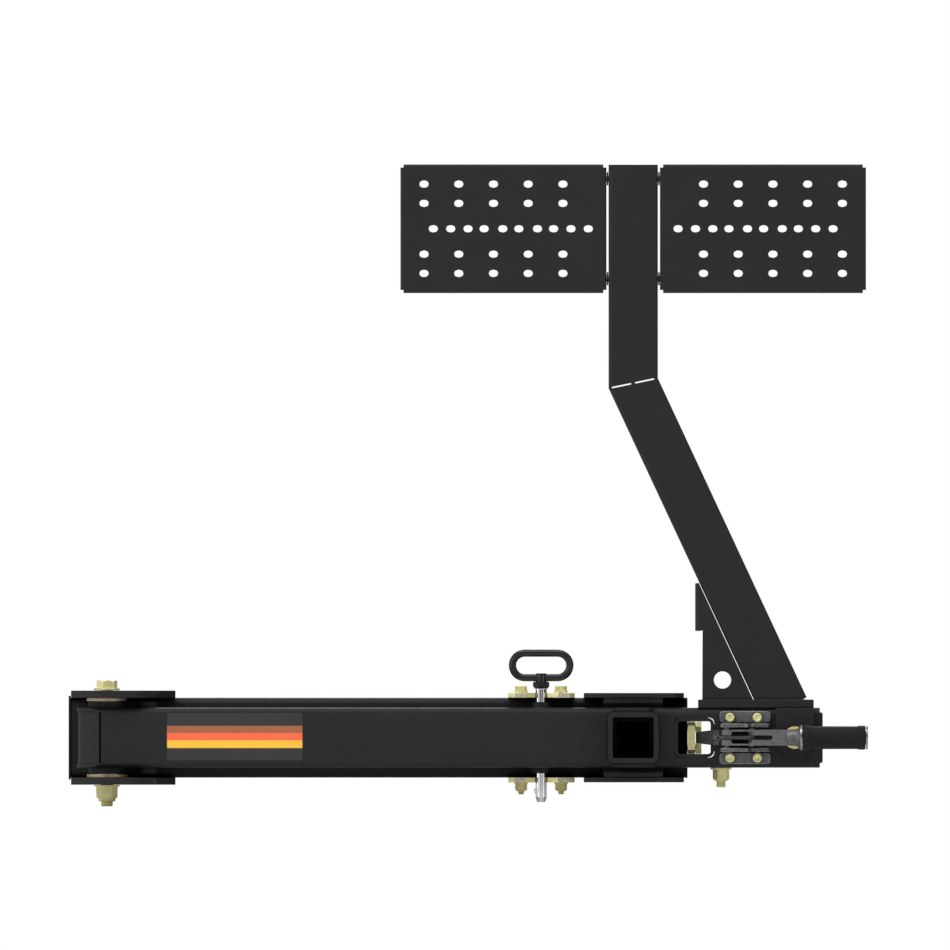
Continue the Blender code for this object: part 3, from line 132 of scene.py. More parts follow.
def make_finish(name, base, shade, fleck, edge, rough, metallic=0.0, specular=0.5, mottle=14.0,
                grain=900.0, bump=0.12, depth=0.0002, fleck_range=(0.56, 0.72), stretch=None):
    """A procedural finish: cloudy tone, fine flecks, worn edges, and grain in gloss and relief.

    rough is the lowest and highest roughness; mottle and grain are noise scales.
    """
    middle_tones = (0.35, 0.65)
    material = bpy.data.materials.new(name)
    material.use_nodes = True
    tree = material.node_tree
    shader = tree.nodes["Principled BSDF"]
    shader.inputs["Metallic"].default_value = metallic
    shader.inputs["Specular IOR Level"].default_value = specular
    coords = add_node(tree, "ShaderNodeTexCoord").outputs["Object"]
    cloud = spread(tree, noise(tree, coords, mottle, 5.0, stretch), *middle_tones)
    fine = noise(tree, coords, grain, 3.0, stretch)
    colour = blended(tree, cloud, base, shade)
    colour = blended(tree, spread(tree, fine, *fleck_range), colour, fleck)
    worn = add_node(tree, "ShaderNodeAttribute", attribute_name="wear").outputs["Fac"]
    patches = spread(tree, noise(tree, coords, WEAR_SCALE, 3.0), 0.42, 0.58, LEAST_WEAR, 1.0)
    worn = product(tree, worn, patches)
    colour = blended(tree, worn, colour, edge)
    tree.links.new(colour, shader.inputs["Base Color"])
    gloss = spread(tree, fine, *middle_tones, *rough)
    tree.links.new(gloss, shader.inputs["Roughness"])
    relief = add_node(tree, "ShaderNodeBump")
    relief.inputs["Strength"].default_value = bump
    relief.inputs["Distance"].default_value = depth
    tree.links.new(fine, relief.inputs["Height"])
    tree.links.new(relief.outputs["Normal"], shader.inputs["Normal"])
    return material


FINISH = {
    "powder_coat": make_finish(
        "powder_coat", (0.0200, 0.0200, 0.0202), (0.0180, 0.0180, 0.0183), (0.0240, 0.0240, 0.0243),
        (0.028, 0.028, 0.0285), (0.44, 0.56), specular=0.16, grain=1500.0, bump=0.20),
    "yellow_zinc": make_finish(
        "yellow_zinc", (0.86, 0.80, 0.40), (0.74, 0.69, 0.31), (0.93, 0.88, 0.52),
        (0.97, 0.94, 0.66), (0.30, 0.44), metallic=0.42, mottle=90.0, grain=1100.0, bump=0.16),
    "bronze": make_finish(
        "bronze", (0.50, 0.41, 0.28), (0.40, 0.32, 0.21), (0.62, 0.52, 0.38),
        (0.66, 0.56, 0.42), (0.40, 0.55), metallic=0.7, mottle=120.0, grain=1300.0, bump=0.25),
    "plastic": make_finish(
        "plastic", (0.0150, 0.0150, 0.0155), (0.0120, 0.0120, 0.0125), (0.019, 0.019, 0.0195),
        (0.026, 0.026, 0.0265), (0.32, 0.44), specular=0.28, grain=1200.0, bump=0.10),
    "chrome": make_finish(
        "chrome", (0.78, 0.79, 0.82), (0.74, 0.75, 0.78), (0.82, 0.83, 0.86),
        (0.88, 0.88, 0.90), (0.025, 0.045), metallic=1.0, mottle=60.0, grain=500.0, bump=0.001,
        stretch=(1.0, 1.0, 0.15)),
    "moulded": make_finish(
        "moulded", (0.0085, 0.0085, 0.0088), (0.0070, 0.0070, 0.0073), (0.012, 0.012, 0.0123),
        (0.016, 0.016, 0.0164), (0.24, 0.34), specular=0.40, grain=1300.0, bump=0.08),
    "blasted_steel": make_finish(
        "blasted_steel", (0.150, 0.150, 0.152), (0.110, 0.110, 0.112), (0.235, 0.235, 0.238),
        (0.34, 0.34, 0.345), (0.42, 0.60), metallic=0.85, mottle=140.0, grain=620.0, bump=0.45,
        depth=0.0003, fleck_range=(0.50, 0.66)),
    "cast_dark": make_finish(
        "cast_dark", (0.095, 0.095, 0.093), (0.050, 0.050, 0.048), (0.20, 0.20, 0.195),
        (0.26, 0.26, 0.26), (0.45, 0.65), metallic=0.8, mottle=220.0, grain=520.0, bump=0.7,
        depth=0.0004, fleck_range=(0.46, 0.64)),
    "steel": make_finish(
        "steel", (0.46, 0.46, 0.47), (0.40, 0.40, 0.41), (0.54, 0.54, 0.55),
        (0.66, 0.66, 0.67), (0.26, 0.38), metallic=1.0, mottle=70.0, grain=900.0, bump=0.10),
    "dull_steel": make_finish(
        "dull_steel", (0.30, 0.30, 0.31), (0.25, 0.25, 0.26), (0.38, 0.38, 0.39),
        (0.60, 0.60, 0.61), (0.24, 0.36), metallic=1.0, mottle=70.0, grain=900.0, bump=0.10),
    # A greyer, darker zinc for faces that face the front: painted shade, over a real rough grain.
    "rough_zinc_with_painted_shade": make_finish(
        "rough_zinc_with_painted_shade", (0.42, 0.41, 0.29), (0.20, 0.20, 0.13), (0.70, 0.68, 0.50),
        (0.86, 0.84, 0.62), (0.40, 0.58), metallic=0.45, mottle=420.0, grain=1500.0, bump=0.5,
        depth=0.0003, fleck_range=(0.44, 0.62)),
    "rubber": make_finish(
        "rubber", (0.0115, 0.0115, 0.0119), (0.0095, 0.0095, 0.0099), (0.016, 0.016, 0.0164),
        (0.020, 0.020, 0.0204), (0.58, 0.74), specular=0.15, grain=1000.0, bump=0.30),
}
STICKER_COLOURS = (
    ("sticker_ground", (0.0370, 0.0370, 0.0374)), ("sticker_brown", (0.392, 0.133, 0.065)),
    ("sticker_orange", (1.0, 0.162, 0.074)), ("sticker_yellow", (1.0, 0.565, 0.055)))


def sticker_finish(name, colour):
    dim = tuple(0.93 * part for part in colour)
    pale = tuple(min(1.0, 1.04 * part + 0.002) for part in colour)
    return make_finish(name, colour, dim, pale, pale, (0.34, 0.44), specular=0.3, mottle=30.0,
                       grain=1600.0, bump=0.04)


# ---------------------------------------------------------------- meshes
def finished(name, mesh, finish, body, nodes=(), sharp=40):
    """Turn a mesh into a piece that rides on a body and stands for its nodes.

    finish is a finish's name, or a list of names or materials in the order of the faces' indices.
    """
    piece = bpy.data.objects.new(name, mesh)
    bpy.context.scene.collection.objects.link(piece)
    for each in (finish if isinstance(finish, (list, tuple)) else [finish]):
        mesh.materials.append(each if not isinstance(each, str) else FINISH[each])
    mesh.shade_smooth()
    mesh.set_sharp_from_angle(angle=math.radians(sharp))
    weigh = piece.modifiers.new("weigh", "WEIGHTED_NORMAL")
    weigh.keep_sharp = True
    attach(piece, body)
    if nodes:
        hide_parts(*nodes)


MERGE = 2e-6                    # vertices closer than this are one
FLAT_DEG = 0.6                  # faces closer to one plane than this are one


def node_copy(node):
    """The node's own solid, with the vertices that its faces share joined."""
    bm = bmesh.new()
    bm.from_mesh(NODES[node].data)
    bmesh.ops.remove_doubles(bm, verts=bm.verts, dist=MERGE)
    return bm


def as_mesh(bm, name):
    mesh = bpy.data.meshes.new(name)
    bm.to_mesh(mesh)
    bm.free()
    return mesh


def join(bm, mesh):
    """Add a mesh to the shape and drop it."""
    bm.from_mesh(mesh)
    bpy.data.meshes.remove(mesh)


def soften(bm, width, segments=2, sharp=32):
    """Round every edge sharper than an angle, and mark the rounded faces as worn."""
    bmesh.ops.remove_doubles(bm, verts=bm.verts, dist=MERGE)
    bmesh.ops.dissolve_limit(bm, angle_limit=math.radians(FLAT_DEG), verts=bm.verts, edges=bm.edges)
    layer = bm.faces.layers.float.get("wear") or bm.faces.layers.float.new("wear")
    limit = math.radians(sharp)
    edges = [edge for edge in bm.edges
             if len(edge.link_faces) == 2 and edge.calc_face_angle(0.0) > limit]
    done = bmesh.ops.bevel(bm, geom=edges, offset=width, segments=segments, profile=0.5,
                           affect="EDGES", clamp_overlap=True)
    for face in done["faces"]:
        face[layer] = 1.0


def swollen(bm, amount):
    """Push every face out along its normal, so that a hairline gap beside it closes."""
    longest = 1.8               # caps the move at a sliver's corner, which would shoot out
    bm.normal_update()
    moves = [(vert, vert.normal * min(longest, vert.calc_shell_factor()) * amount) for vert in bm.verts]
    for vert, move in moves:
        vert.co += move


def add_skin(node, bm, finish):
    """The piece that stands for a node and has its shape."""
    finished(node + "_skin", as_mesh(bm, node), finish, BODY_OF[node], [node])


def softened(node, width, swell):
    """The node's own solid, grown a little if asked, with its edges rounded."""
    bm = node_copy(node)
    if swell:
        swollen(bm, swell)
    soften(bm, width)
    add_skin(node, bm, SLOT_OF[node])


def along(centre, direction):
    """A turn and shift that puts local +Z on a direction through a centre."""
    turn = Vector(direction).to_track_quat("Z", "Y").to_matrix().to_4x4()
    return Matrix.Translation(Vector(centre)) @ turn


def add_rings(bm, rings, closed=False):
    """Join rings of points into a skin, capped at both ends unless it closes on itself."""
    rows = [[bm.verts.new(point) for point in ring] for ring in rings]
    count = len(rows[0])
    pairs = list(zip(rows, rows[1:]))
    if closed:
        pairs.append((rows[-1], rows[0]))
    for first, second in pairs:
        for i in range(count):
            j = (i + 1) % count
            bm.faces.new((first[i], first[j], second[j], second[i]))
    if not closed:
        bm.faces.new(rows[0][::-1])
        bm.faces.new(rows[-1])


def polar_ring(radius_at, height_at, count):
    """Points round local Z, whose radius and height are functions of the turn."""
    ring = []
    for i in range(count):
        turn = math.tau * i / count
        radius = radius_at(turn)
        ring.append(Vector((radius * math.cos(turn), radius * math.sin(turn),
                            height_at(turn, radius))))
    return ring


def add_turned(bm, profile, count=48):
    """A solid of revolution from (radius, height) pairs."""
    least = 1e-5                # a ring on the axis keeps its points apart
    add_rings(bm, [polar_ring(lambda _, r=radius: max(r, least), lambda *_, h=height: h, count)
                   for radius, height in profile])


HEX_COUNT = 72                  # points round a hexagon, 12 to a side
HEX_RIM = 0.96                  # a chamfered end, as a share of the width across flats


def add_hex(bm, low, high, corner, turn_deg=0.0, chamfer_low=False, chamfer_high=True,
            low_rim=HEX_RIM, slope_deg=30.0):
    """A hexagon with turned chamfers, which leave an arc on each flat."""
    flat = corner * math.cos(math.radians(30))
    slope = math.tan(math.radians(30))
    low_slope = math.tan(math.radians(slope_deg))
    start = math.radians(turn_deg)

    def radius_at(turn):
        return flat / math.cos((turn - start) % math.radians(60) - math.radians(30))

    def top(_, radius):
        return high - (max(0.0, radius - 0.985 * flat) * slope if chamfer_high else 0.0)

    def bottom(_, radius):
        return low + (max(0.0, radius - low_rim * flat) * low_slope if chamfer_low else 0.0)

    rings = [polar_ring(radius_at, bottom, HEX_COUNT), polar_ring(radius_at, top, HEX_COUNT)]
    if chamfer_low:
        rings.insert(0, polar_ring(lambda _: low_rim * flat, lambda *_: low, HEX_COUNT))
    if chamfer_high:
        rings.append(polar_ring(lambda _: HEX_RIM * flat, lambda *_: high, HEX_COUNT))
    add_rings(bm, rings)


COARSE_PITCH, FINE_PITCH = 0.0016, 0.0011


def add_thread(bm, low, high, radius, pitch, count=32):
    """A screw thread whose low end is a chamfered tip."""
    depth = 0.55 * pitch
    tip_tall, tip_share = 0.0016, 0.12
    steps = max(8, int(round((high - low) / pitch * 4)))
    rings = []
    for step in range(steps + 1):
        height = low + (high - low) * step / steps
        taper = min(1.0, (height - low) / tip_tall)

        def radius_at(turn, height=height, taper=taper):
            phase = (height / pitch - turn / math.tau) % 1.0
            cut = depth * abs(2 * phase - 1)
            return radius - cut - (1 - taper) * tip_share * radius

        rings.append(polar_ring(radius_at, lambda *_, h=height: h, count))
    add_rings(bm, rings)


def placed(bm, matrix, name):
    """Move a shape to its place, with its faces turned outwards, and keep it as a mesh."""
    bmesh.ops.transform(bm, matrix=matrix, verts=bm.verts)
    bmesh.ops.recalc_face_normals(bm, faces=bm.faces)
    return as_mesh(bm, name)


def rounded_disc(bm, low, high, radius):
    edge = 0.0004
    add_turned(bm, [(radius - edge, low), (radius, low + edge), (radius, high - edge),
                    (radius - edge, high)], 56)


# Which way each corner of a rectangle faces, and the angle at which its arc starts.
CORNERS = ((1, 1, 0), (-1, 1, 90), (-1, -1, 180), (1, -1, 270))


def rounded_outline(low, high, radius, steps):
    """The outline of a flat rectangle with round corners."""
    outline = []
    for side_u, side_v, start in CORNERS:
        centre_u = high[0] - radius if side_u > 0 else low[0] + radius
        centre_v = high[1] - radius if side_v > 0 else low[1] + radius
        for step in range(steps + 1):
            turn = math.radians(start + 90 * step / steps)
            outline.append((centre_u + radius * math.cos(turn), centre_v + radius * math.sin(turn)))
    return outline


# ---------------------------------------------------------------- nodes that keep their shape
CLOSE = 0.00032         # closes the 0.3 mm of air that the frame leaves between welded parts
OWN_SHAPES = (          # node, width of its rounded edges, growth
    ("base_beam", 0.0004, CLOSE), ("beam_end_plate_left", 0.0005, 0.0),
    ("beam_end_plate_right", 0.0005, 0.0), ("hitch_stinger", 0.0005, 0.0),
    ("clevis_plate_top", 0.0005, 0.0), ("clevis_plate_bottom", 0.0005, 0.0),
    ("cradle_plate_top", 0.0005, 0.0), ("cradle_plate_bottom", 0.0005, 0.0),
    ("wear_pad_top", 0.0004, 0.0), ("wear_pad_bottom", 0.0004, 0.0),
    ("swing_arm", 0.0005, CLOSE), ("arm_end_wrap", 0.0006, 0.0),
    ("pivot_sleeve", 0.0006, 0.0), ("hold_open_sleeve", 0.0006, 0.0),
    ("lock_pin_sleeve", 0.0005, 0.0), ("receiver_tube", 0.0010, 0.0),
    ("receiver_plate_top", 0.0005, 0.0), ("receiver_plate_bottom", 0.0005, 0.0),
    ("latch_window_liner", 0.0009, 0.0), ("arm_end_cap", 0.0004, 0.0),
    ("mast_gusset", 0.0004, 0.0008), ("mast_base_plate", 0.0004, CLOSE),
    ("gear_plate_left", 0.0003, 0.0), ("gear_plate_right", 0.0003, 0.0),
    ("latch_keeper", 0.0009, 0.0), ("thrust_washer_top", 0.0004, 0.0),
    ("thrust_washer_bottom", 0.0004, 0.0), ("pivot_spacer", 0.0004, 0.0),
    ("pivot_bushing", 0.0004, 0.0), ("mast", 0.0004, 0.0))
for plain_node, edge_width, growth in OWN_SHAPES:
    softened(plain_node, edge_width, growth)


def make_mast_tab(node):
    """A tab that hangs below the mast's foot, so the foot's own edge shows above it."""
    foot_low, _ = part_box("mast_base_plate")
    trim = foot_low.z - 0.0006
    bm = node_copy(node)
    swollen(bm, CLOSE)
    whole = bm.verts[:] + bm.edges[:] + bm.faces[:]
    cut_line = bmesh.ops.bisect_plane(bm, geom=whole, plane_co=(0, 0, trim), plane_no=(0, 0, 1),
                                      clear_outer=True)
    rim = [item for item in cut_line["geom_cut"] if isinstance(item, bmesh.types.BMEdge)]
    bmesh.ops.holes_fill(bm, edges=rim)
    soften(bm, 0.0007)
    add_skin(node, bm, "powder_coat")


def make_pin_bracket(node):
    """A plated bracket whose faces that face the front are rough, and greyer and darker as painted shade.
    """
    front_normal = -0.97
    bm = node_copy(node)
    soften(bm, 0.0005)
    bm.normal_update()
    for face in bm.faces:
        # Faces that face the front take the greyer, darker zinc, which is painted shade.
        face.material_index = 1 if face.normal.y < front_normal else 0
    add_skin(node, bm, ["yellow_zinc", "rough_zinc_with_painted_shade"])


make_mast_tab("mast_tab_front")
make_mast_tab("mast_tab_back")
make_pin_bracket("pin_bracket_top")
make_pin_bracket("pin_bracket_bottom")


# ---------------------------------------------------------------- arm sticker
def make_sticker():
    """A vinyl sheet with three plain straight bands."""
    arm_low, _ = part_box("swing_arm")
    low, high = Vector((-0.5967, -0.0290)), Vector((-0.4234, 0.0316))
    radius, thick, gap = 0.0028, 0.00022, 0.00005
    band_edges = (0.0152, 0.0060, -0.0034, -0.0133)
    bm = bmesh.new()
    bm.faces.new([bm.verts.new((x, 0, z)) for x, z in rounded_outline(low, high, radius, 8)])
    for height in band_edges:
        bmesh.ops.bisect_plane(bm, geom=bm.verts[:] + bm.edges[:] + bm.faces[:],
                               plane_co=(0, 0, height), plane_no=(0, 0, 1))
    for face in bm.faces:
        height = face.calc_center_median().z
        inside = [index for index in range(3) if band_edges[index] > height > band_edges[index + 1]]
        face.material_index = inside[0] + 1 if inside else 0
    made = bmesh.ops.extrude_face_region(bm, geom=bm.faces[:])
    moved = [item for item in made["geom"] if isinstance(item, bmesh.types.BMVert)]
    bmesh.ops.translate(bm, vec=(0, -thick, 0), verts=moved)
    mesh = placed(bm, Matrix.Translation((0, arm_low.y - CLOSE - gap, 0)), "arm_sticker")
    colours = [sticker_finish(*entry) for entry in STICKER_COLOURS]
    finished("arm_sticker", mesh, colours, "arm")


make_sticker()


def make_stinger_weld():
    """A fillet weld that closes the corner between the hitch tube and the beam's back wall."""
    low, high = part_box("hitch_stinger")
    _, beam_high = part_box("base_beam")
    half, corner, leg, count = (high.x - low.x) / 2, 0.005, 0.0045, 8
    # Outwards and back: shares of the leg, or if negative a depth into the metal.
    section = ((-0.0006, -0.0004), (-0.0006, 0.94), (0.30, 0.62), (0.62, 0.30), (0.94, -0.0004))
    rings = []
    for corner_x, corner_z, start in CORNERS:
        for step in range(count + 1):
            turn = math.radians(start + 90 * step / count)
            across, up = math.cos(turn), math.sin(turn)
            base_x = corner_x * (half - corner) + corner * across
            base_z = corner_z * (half - corner) + corner * up
            ring = []
            for out, back in section:
                reach = out * leg if out > 0 else out
                rise = back * leg if back > 0 else back
                ring.append(Vector((base_x + across * reach, beam_high.y + rise,
                                    base_z + up * reach)))
            rings.append(ring)
    bm = bmesh.new()
    add_rings(bm, rings, closed=True)
    mesh = placed(bm, Matrix.Identity(4), "stinger_weld")
    finished("stinger_weld", mesh, "powder_coat", "base", (), 50)


make_stinger_weld()


# ---------------------------------------------------------------- bolts and nuts
LOCK_NUT_RIM = 0.80             # a lock nut's end, as a share of its width across flats
LOCK_NUT_SLOPE = 42.0
# Of each size of bolt: radii of the shank, the hexagon's corners and the washer, and heights of
# the head and nut.
SMALL_SHANK, SMALL_CORNER = 0.00397, 0.0077
MIDDLE_SHANK, MIDDLE_CORNER, MIDDLE_HEAD, MIDDLE_NUT = 0.00635, 0.0110, 0.0080, 0.0145
LARGE_SHANK, LARGE_CORNER, LARGE_HEAD, LARGE_WASHER = 0.00794, 0.0137, 0.0099, 0.0163
WASHER = 0.0025                 # a washer's thickness
UP, LEFT, RIGHT, FRONT = (0, 0, 1), (-1, 0, 0), (1, 0, 0), (0, -1, 0)


def make_bolt(node, direction, head_high, corner, radius, washers, nut, turn, thread,
              washer_finish=None):
    """A hexagon bolt whose tip is at height 0 and whose head is at the far end of direction.

    washers are (start, end, radius) and nut is (start, end, corner), as heights from the tip;
    turn is in degrees, and thread is the height at which the thread ends.
    """
    low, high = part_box(node)
    axis = max(range(3), key=lambda i: abs(direction[i]))
    centre = (low + high) / 2
    centre[axis] = low[axis] if direction[axis] > 0 else high[axis]
    length = high[axis] - low[axis]
    bm = bmesh.new()
    add_hex(bm, length - head_high, length, corner, turn)
    add_thread(bm, 0.0, min(thread, length - head_high), radius,
               COARSE_PITCH if radius > SMALL_SHANK else FINE_PITCH)
    if thread < length - head_high:
        add_turned(bm, [(radius, thread), (radius, length - head_high / 2)], 32)
    for start, end, disc in washers:
        rounded_disc(bm, start, end, disc)
    if nut:
        start, end, nut_corner = nut
        add_hex(bm, start, end, nut_corner, turn, True, False, LOCK_NUT_RIM, LOCK_NUT_SLOPE)
    finishes = ["yellow_zinc"]
    if washer_finish:
        finishes.append(washer_finish)
        slack = 5e-6
        for face in bm.faces:
            reach = face.calc_center_median().z
            if any(start - slack < reach < end + slack for start, end, _ in washers):
                face.material_index = 1
    mesh = placed(bm, along(centre, direction), node)
    finished(node + "_detail", mesh, finishes, BODY_OF[node], [node], 28)


def node_length(node, axis):
    low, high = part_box(node)
    return high[axis] - low[axis]


def make_hardware():
    """The yellow hexagon bolts, each with the nut and washers that belong to its node."""
    long = node_length("pivot_bolt", 2)
    top = long - LARGE_HEAD
    make_bolt("pivot_bolt", UP, LARGE_HEAD, LARGE_CORNER, LARGE_SHANK,
              [(long - 0.0127, top, LARGE_WASHER)], None, 8.0, 0.034)
    for node in ("bracket_bolt_left", "bracket_bolt_right"):
        head, nut, clamped = 0.0060, 0.0090, 2 * 0.05740
        top = node_length(node, 2) - head
        under = top - WASHER - clamped
        nut_top = top - 2 * WASHER - clamped
        make_bolt(node, UP, head, SMALL_CORNER, SMALL_SHANK,
                  [(top - WASHER, top, 0.0088), (under - WASHER, under, 0.0088)],
                  (nut_top - nut, nut_top, SMALL_CORNER), 0.0, 0.030)
    for node in ("keeper_bolt_upper", "keeper_bolt_lower"):
        head, clamped, nut = 0.0079, 0.0146, 0.0065
        nut_end = node_length(node, 0) - head - clamped
        make_bolt(node, RIGHT, head, SMALL_CORNER, SMALL_SHANK, (),
                  (nut_end - nut, nut_end, SMALL_CORNER), 0.0, 0.020)
    top = node_length("mast_bolt_upright", 2) - MIDDLE_HEAD
    clamped = 0.0485 + 0.0381 + 2 * 0.0003      # from under the arm to the top of the foot
    under = top - WASHER - clamped
    make_bolt("mast_bolt_upright", UP, MIDDLE_HEAD, MIDDLE_CORNER, MIDDLE_SHANK,
              [(top - WASHER, top, 0.0135), (under - WASHER, under, 0.0135)],
              (under - WASHER - MIDDLE_NUT, under - WASHER, MIDDLE_CORNER), 8.0, 0.034)
    top = node_length("mast_bolt_cross", 1) - MIDDLE_HEAD
    nut_low = 0.0060
    nut_high = nut_low + MIDDLE_NUT
    make_bolt("mast_bolt_cross", FRONT, MIDDLE_HEAD, MIDDLE_CORNER, MIDDLE_SHANK,
              [(top - WASHER, top, 0.01425), (nut_high, nut_high + WASHER, 0.01425)],
              (nut_low, nut_high, MIDDLE_CORNER), 0.0, 0.026)
    for word, side in (("left", LEFT), ("right", RIGHT)):
        for level in ("low", "high"):
            node = f"gear_bolt_{word}_{level}"
            head, clamped, spacer = 0.0055, 0.0036, 0.0021
            under = node_length(node, 0) - head - clamped
            make_bolt(node, side, head, 0.0072, SMALL_SHANK, [(under - spacer, under, 0.0085)],
                      None, 0.0, 0.009, "powder_coat")


make_hardware()


def make_pivot_nut():
    """A lock nut: its washer, its hexagon and the domed collar under it."""
    low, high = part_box("pivot_nut")
    centre = (low + high) / 2
    centre.z = low.z
    tall = high.z - low.z
    bm = bmesh.new()
    rounded_disc(bm, tall - 0.0020, tall, LARGE_WASHER)
    add_hex(bm, 0.0040, tall - 0.0018, LARGE_CORNER, chamfer_low=True, chamfer_high=False)
    add_turned(bm, [(0.0083, 0.0006), (0.0098, 0.0), (0.0106, 0.0006), (0.0110, 0.0020),
                    (0.0114, 0.0044)], 56)
    mesh = placed(bm, Matrix.Translation(centre), "pivot_nut")
    finished("pivot_nut_detail", mesh, "yellow_zinc", "base", ["pivot_nut"], 28)


make_pivot_nut()


def make_latch_bolts():
    """Dark hexagons under round yellow caps with a dimple."""
    for level in ("upper", "lower"):
        for word in ("left", "right"):
            node = f"latch_bolt_{level}_{word}"
            low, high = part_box(node)
            centre = (low + high) / 2
            centre.y = high.y
            tall = high.y - low.y
            bm = bmesh.new()
            add_turned(bm, [(0.0027, 0.0), (0.0030, 0.0004), (0.0030, tall - 0.0045)], 24)
            add_hex(bm, tall - 0.0050, tall - 0.0026, 0.0080)
            mesh = placed(bm, along(centre, FRONT), node)
            finished(node + "_hex", mesh, "cast_dark", "arm", [node], 28)
            bm = bmesh.new()
            add_turned(bm, [(0.0030, tall - 0.0030), (0.0060, tall - 0.0028), (0.0061, tall - 0.0018),
                            (0.0056, tall - 0.0006), (0.0048, tall), (0.0036, tall - 0.0001),
                            (0.0031, tall - 0.0006), (0.0026, tall - 0.0009), (0.0, tall - 0.0008)], 40)
            mesh = placed(bm, along(centre, FRONT), node + "_cap")
            finished(node + "_cap", mesh, "yellow_zinc", "arm", (), 50)


make_latch_bolts()


# ---------------------------------------------------------------- lock pin
def make_lock_pin():
    """The chromed shaft, with a small hole in its tip, and the detent ball."""
    low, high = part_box("lock_pin_shaft")
    centre = (low + high) / 2
    radius = (high.x - low.x) / 2
    tall = high.z - low.z
    centre.z = low.z
    bm = bmesh.new()
    add_turned(bm, [(0.0016, 0.0024), (0.0020, 0.0002), (radius - 0.0024, 0.0), (radius - 0.0019, 0.0004),
                    (radius - 0.0002, 0.0056), (radius, 0.0066), (radius, tall - 0.0300),
                    (radius, tall)], 64)
    mesh = placed(bm, Matrix.Translation(centre), "lock_pin_shaft")
    finished("lock_pin_chrome", mesh, "chrome", "lock_pin", ["lock_pin_shaft"], 30)
    low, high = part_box("detent_ball")
    bm = bmesh.new()
    bmesh.ops.create_uvsphere(bm, u_segments=32, v_segments=20, radius=(high.z - low.z) / 2)
    mesh = placed(bm, Matrix.Translation((low + high) / 2), "detent_ball")
    finished("detent_ball_chrome", mesh, "chrome", "detent_ball", ["detent_ball"], 60)


def make_pin_handle():
    """A round-bar loop moulded on a stepped hub with flats."""
    low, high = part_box("lock_pin_handle")
    bar, bar_count, bend_steps = 0.00475, 24, 16
    middle_x, middle_y = (low.x + high.x) / 2, (low.y + high.y) / 2
    loop_low = 0.0720
    half_width = (high.x - low.x) / 2 - bar
    half_tall = (high.z - loop_low) / 2 - bar
    centre_z = (high.z + loop_low) / 2
    straight = half_width - half_tall
    path = []
    for side, start in ((1, -90), (-1, 90)):
        for step in range(bend_steps + 1):
            turn = math.radians(start + 180 * step / bend_steps)
            path.append((side * straight + half_tall * math.cos(turn), half_tall * math.sin(turn),
                         math.cos(turn), math.sin(turn)))
    rings = []
    for x, z, out_x, out_z in path:
        ring = []
        for i in range(bar_count):
            turn = math.tau * i / bar_count
            reach = bar * math.cos(turn)
            ring.append(Vector((middle_x + x + out_x * reach, middle_y + bar * math.sin(turn),
                                centre_z + z + out_z * reach)))
        rings.append(ring)
    bm = bmesh.new()
    add_rings(bm, rings, closed=True)
    hub = bmesh.new()
    base = low.z
    add_turned(hub, [(0.0074, base), (0.0086, base + 0.0004), (0.0098, base + 0.0026)], 48)
    add_hex(hub, base + 0.0020, 0.0716, 0.0105, chamfer_low=True)
    add_turned(hub, [(0.0070, 0.0700), (0.0070, 0.0812), (0.0064, 0.0822), (0.0052, 0.0824)], 48)
    bmesh.ops.translate(hub, vec=(middle_x, middle_y, 0), verts=hub.verts)
    join(bm, as_mesh(hub, "hub"))
    mesh = placed(bm, Matrix.Identity(4), "lock_pin_handle")
    finished("lock_pin_loop", mesh, "moulded", "lock_pin", ["lock_pin_handle"], 32)


make_lock_pin()
make_pin_handle()


# ---------------------------------------------------------------- toggle latch
def plate_between(outline, low, high, matrix):
    """A flat outline, extruded between two heights along local Z."""
    bm = bmesh.new()
    face = bm.faces.new([bm.verts.new((u, v, low)) for u, v in outline])
    made = bmesh.ops.extrude_face_region(bm, geom=[face])
    moved = [item for item in made["geom"] if isinstance(item, bmesh.types.BMVert)]
    bmesh.ops.translate(bm, vec=(0, 0, high - low), verts=moved)
    return placed(bm, matrix, "plate")


def facing_front(side):
    """Local X stays, local Z becomes Y, and local Y becomes up, or down if side is -1."""
    return Matrix(((1, 0, 0, 0), (0, 0, 1, 0), (0, side, 0, 0), (0, 0, 0, 1)))


def carved(mesh, cutter):
    """The mesh with the cutter's shape taken out of it."""
    holder = bpy.data.objects.new("carved", mesh)
    tool = bpy.data.objects.new("cutter", cutter)
    for item in (holder, tool):
        bpy.context.scene.collection.objects.link(item)
    step = holder.modifiers.new("cut", "BOOLEAN")
    step.operation, step.solver, step.object = "DIFFERENCE", "EXACT", tool
    bpy.context.view_layer.update()
    cut = holder.evaluated_get(bpy.context.evaluated_depsgraph_get())
    result = bpy.data.meshes.new_from_object(cut)
    for item in (holder, tool):
        bpy.data.objects.remove(item)
    return result


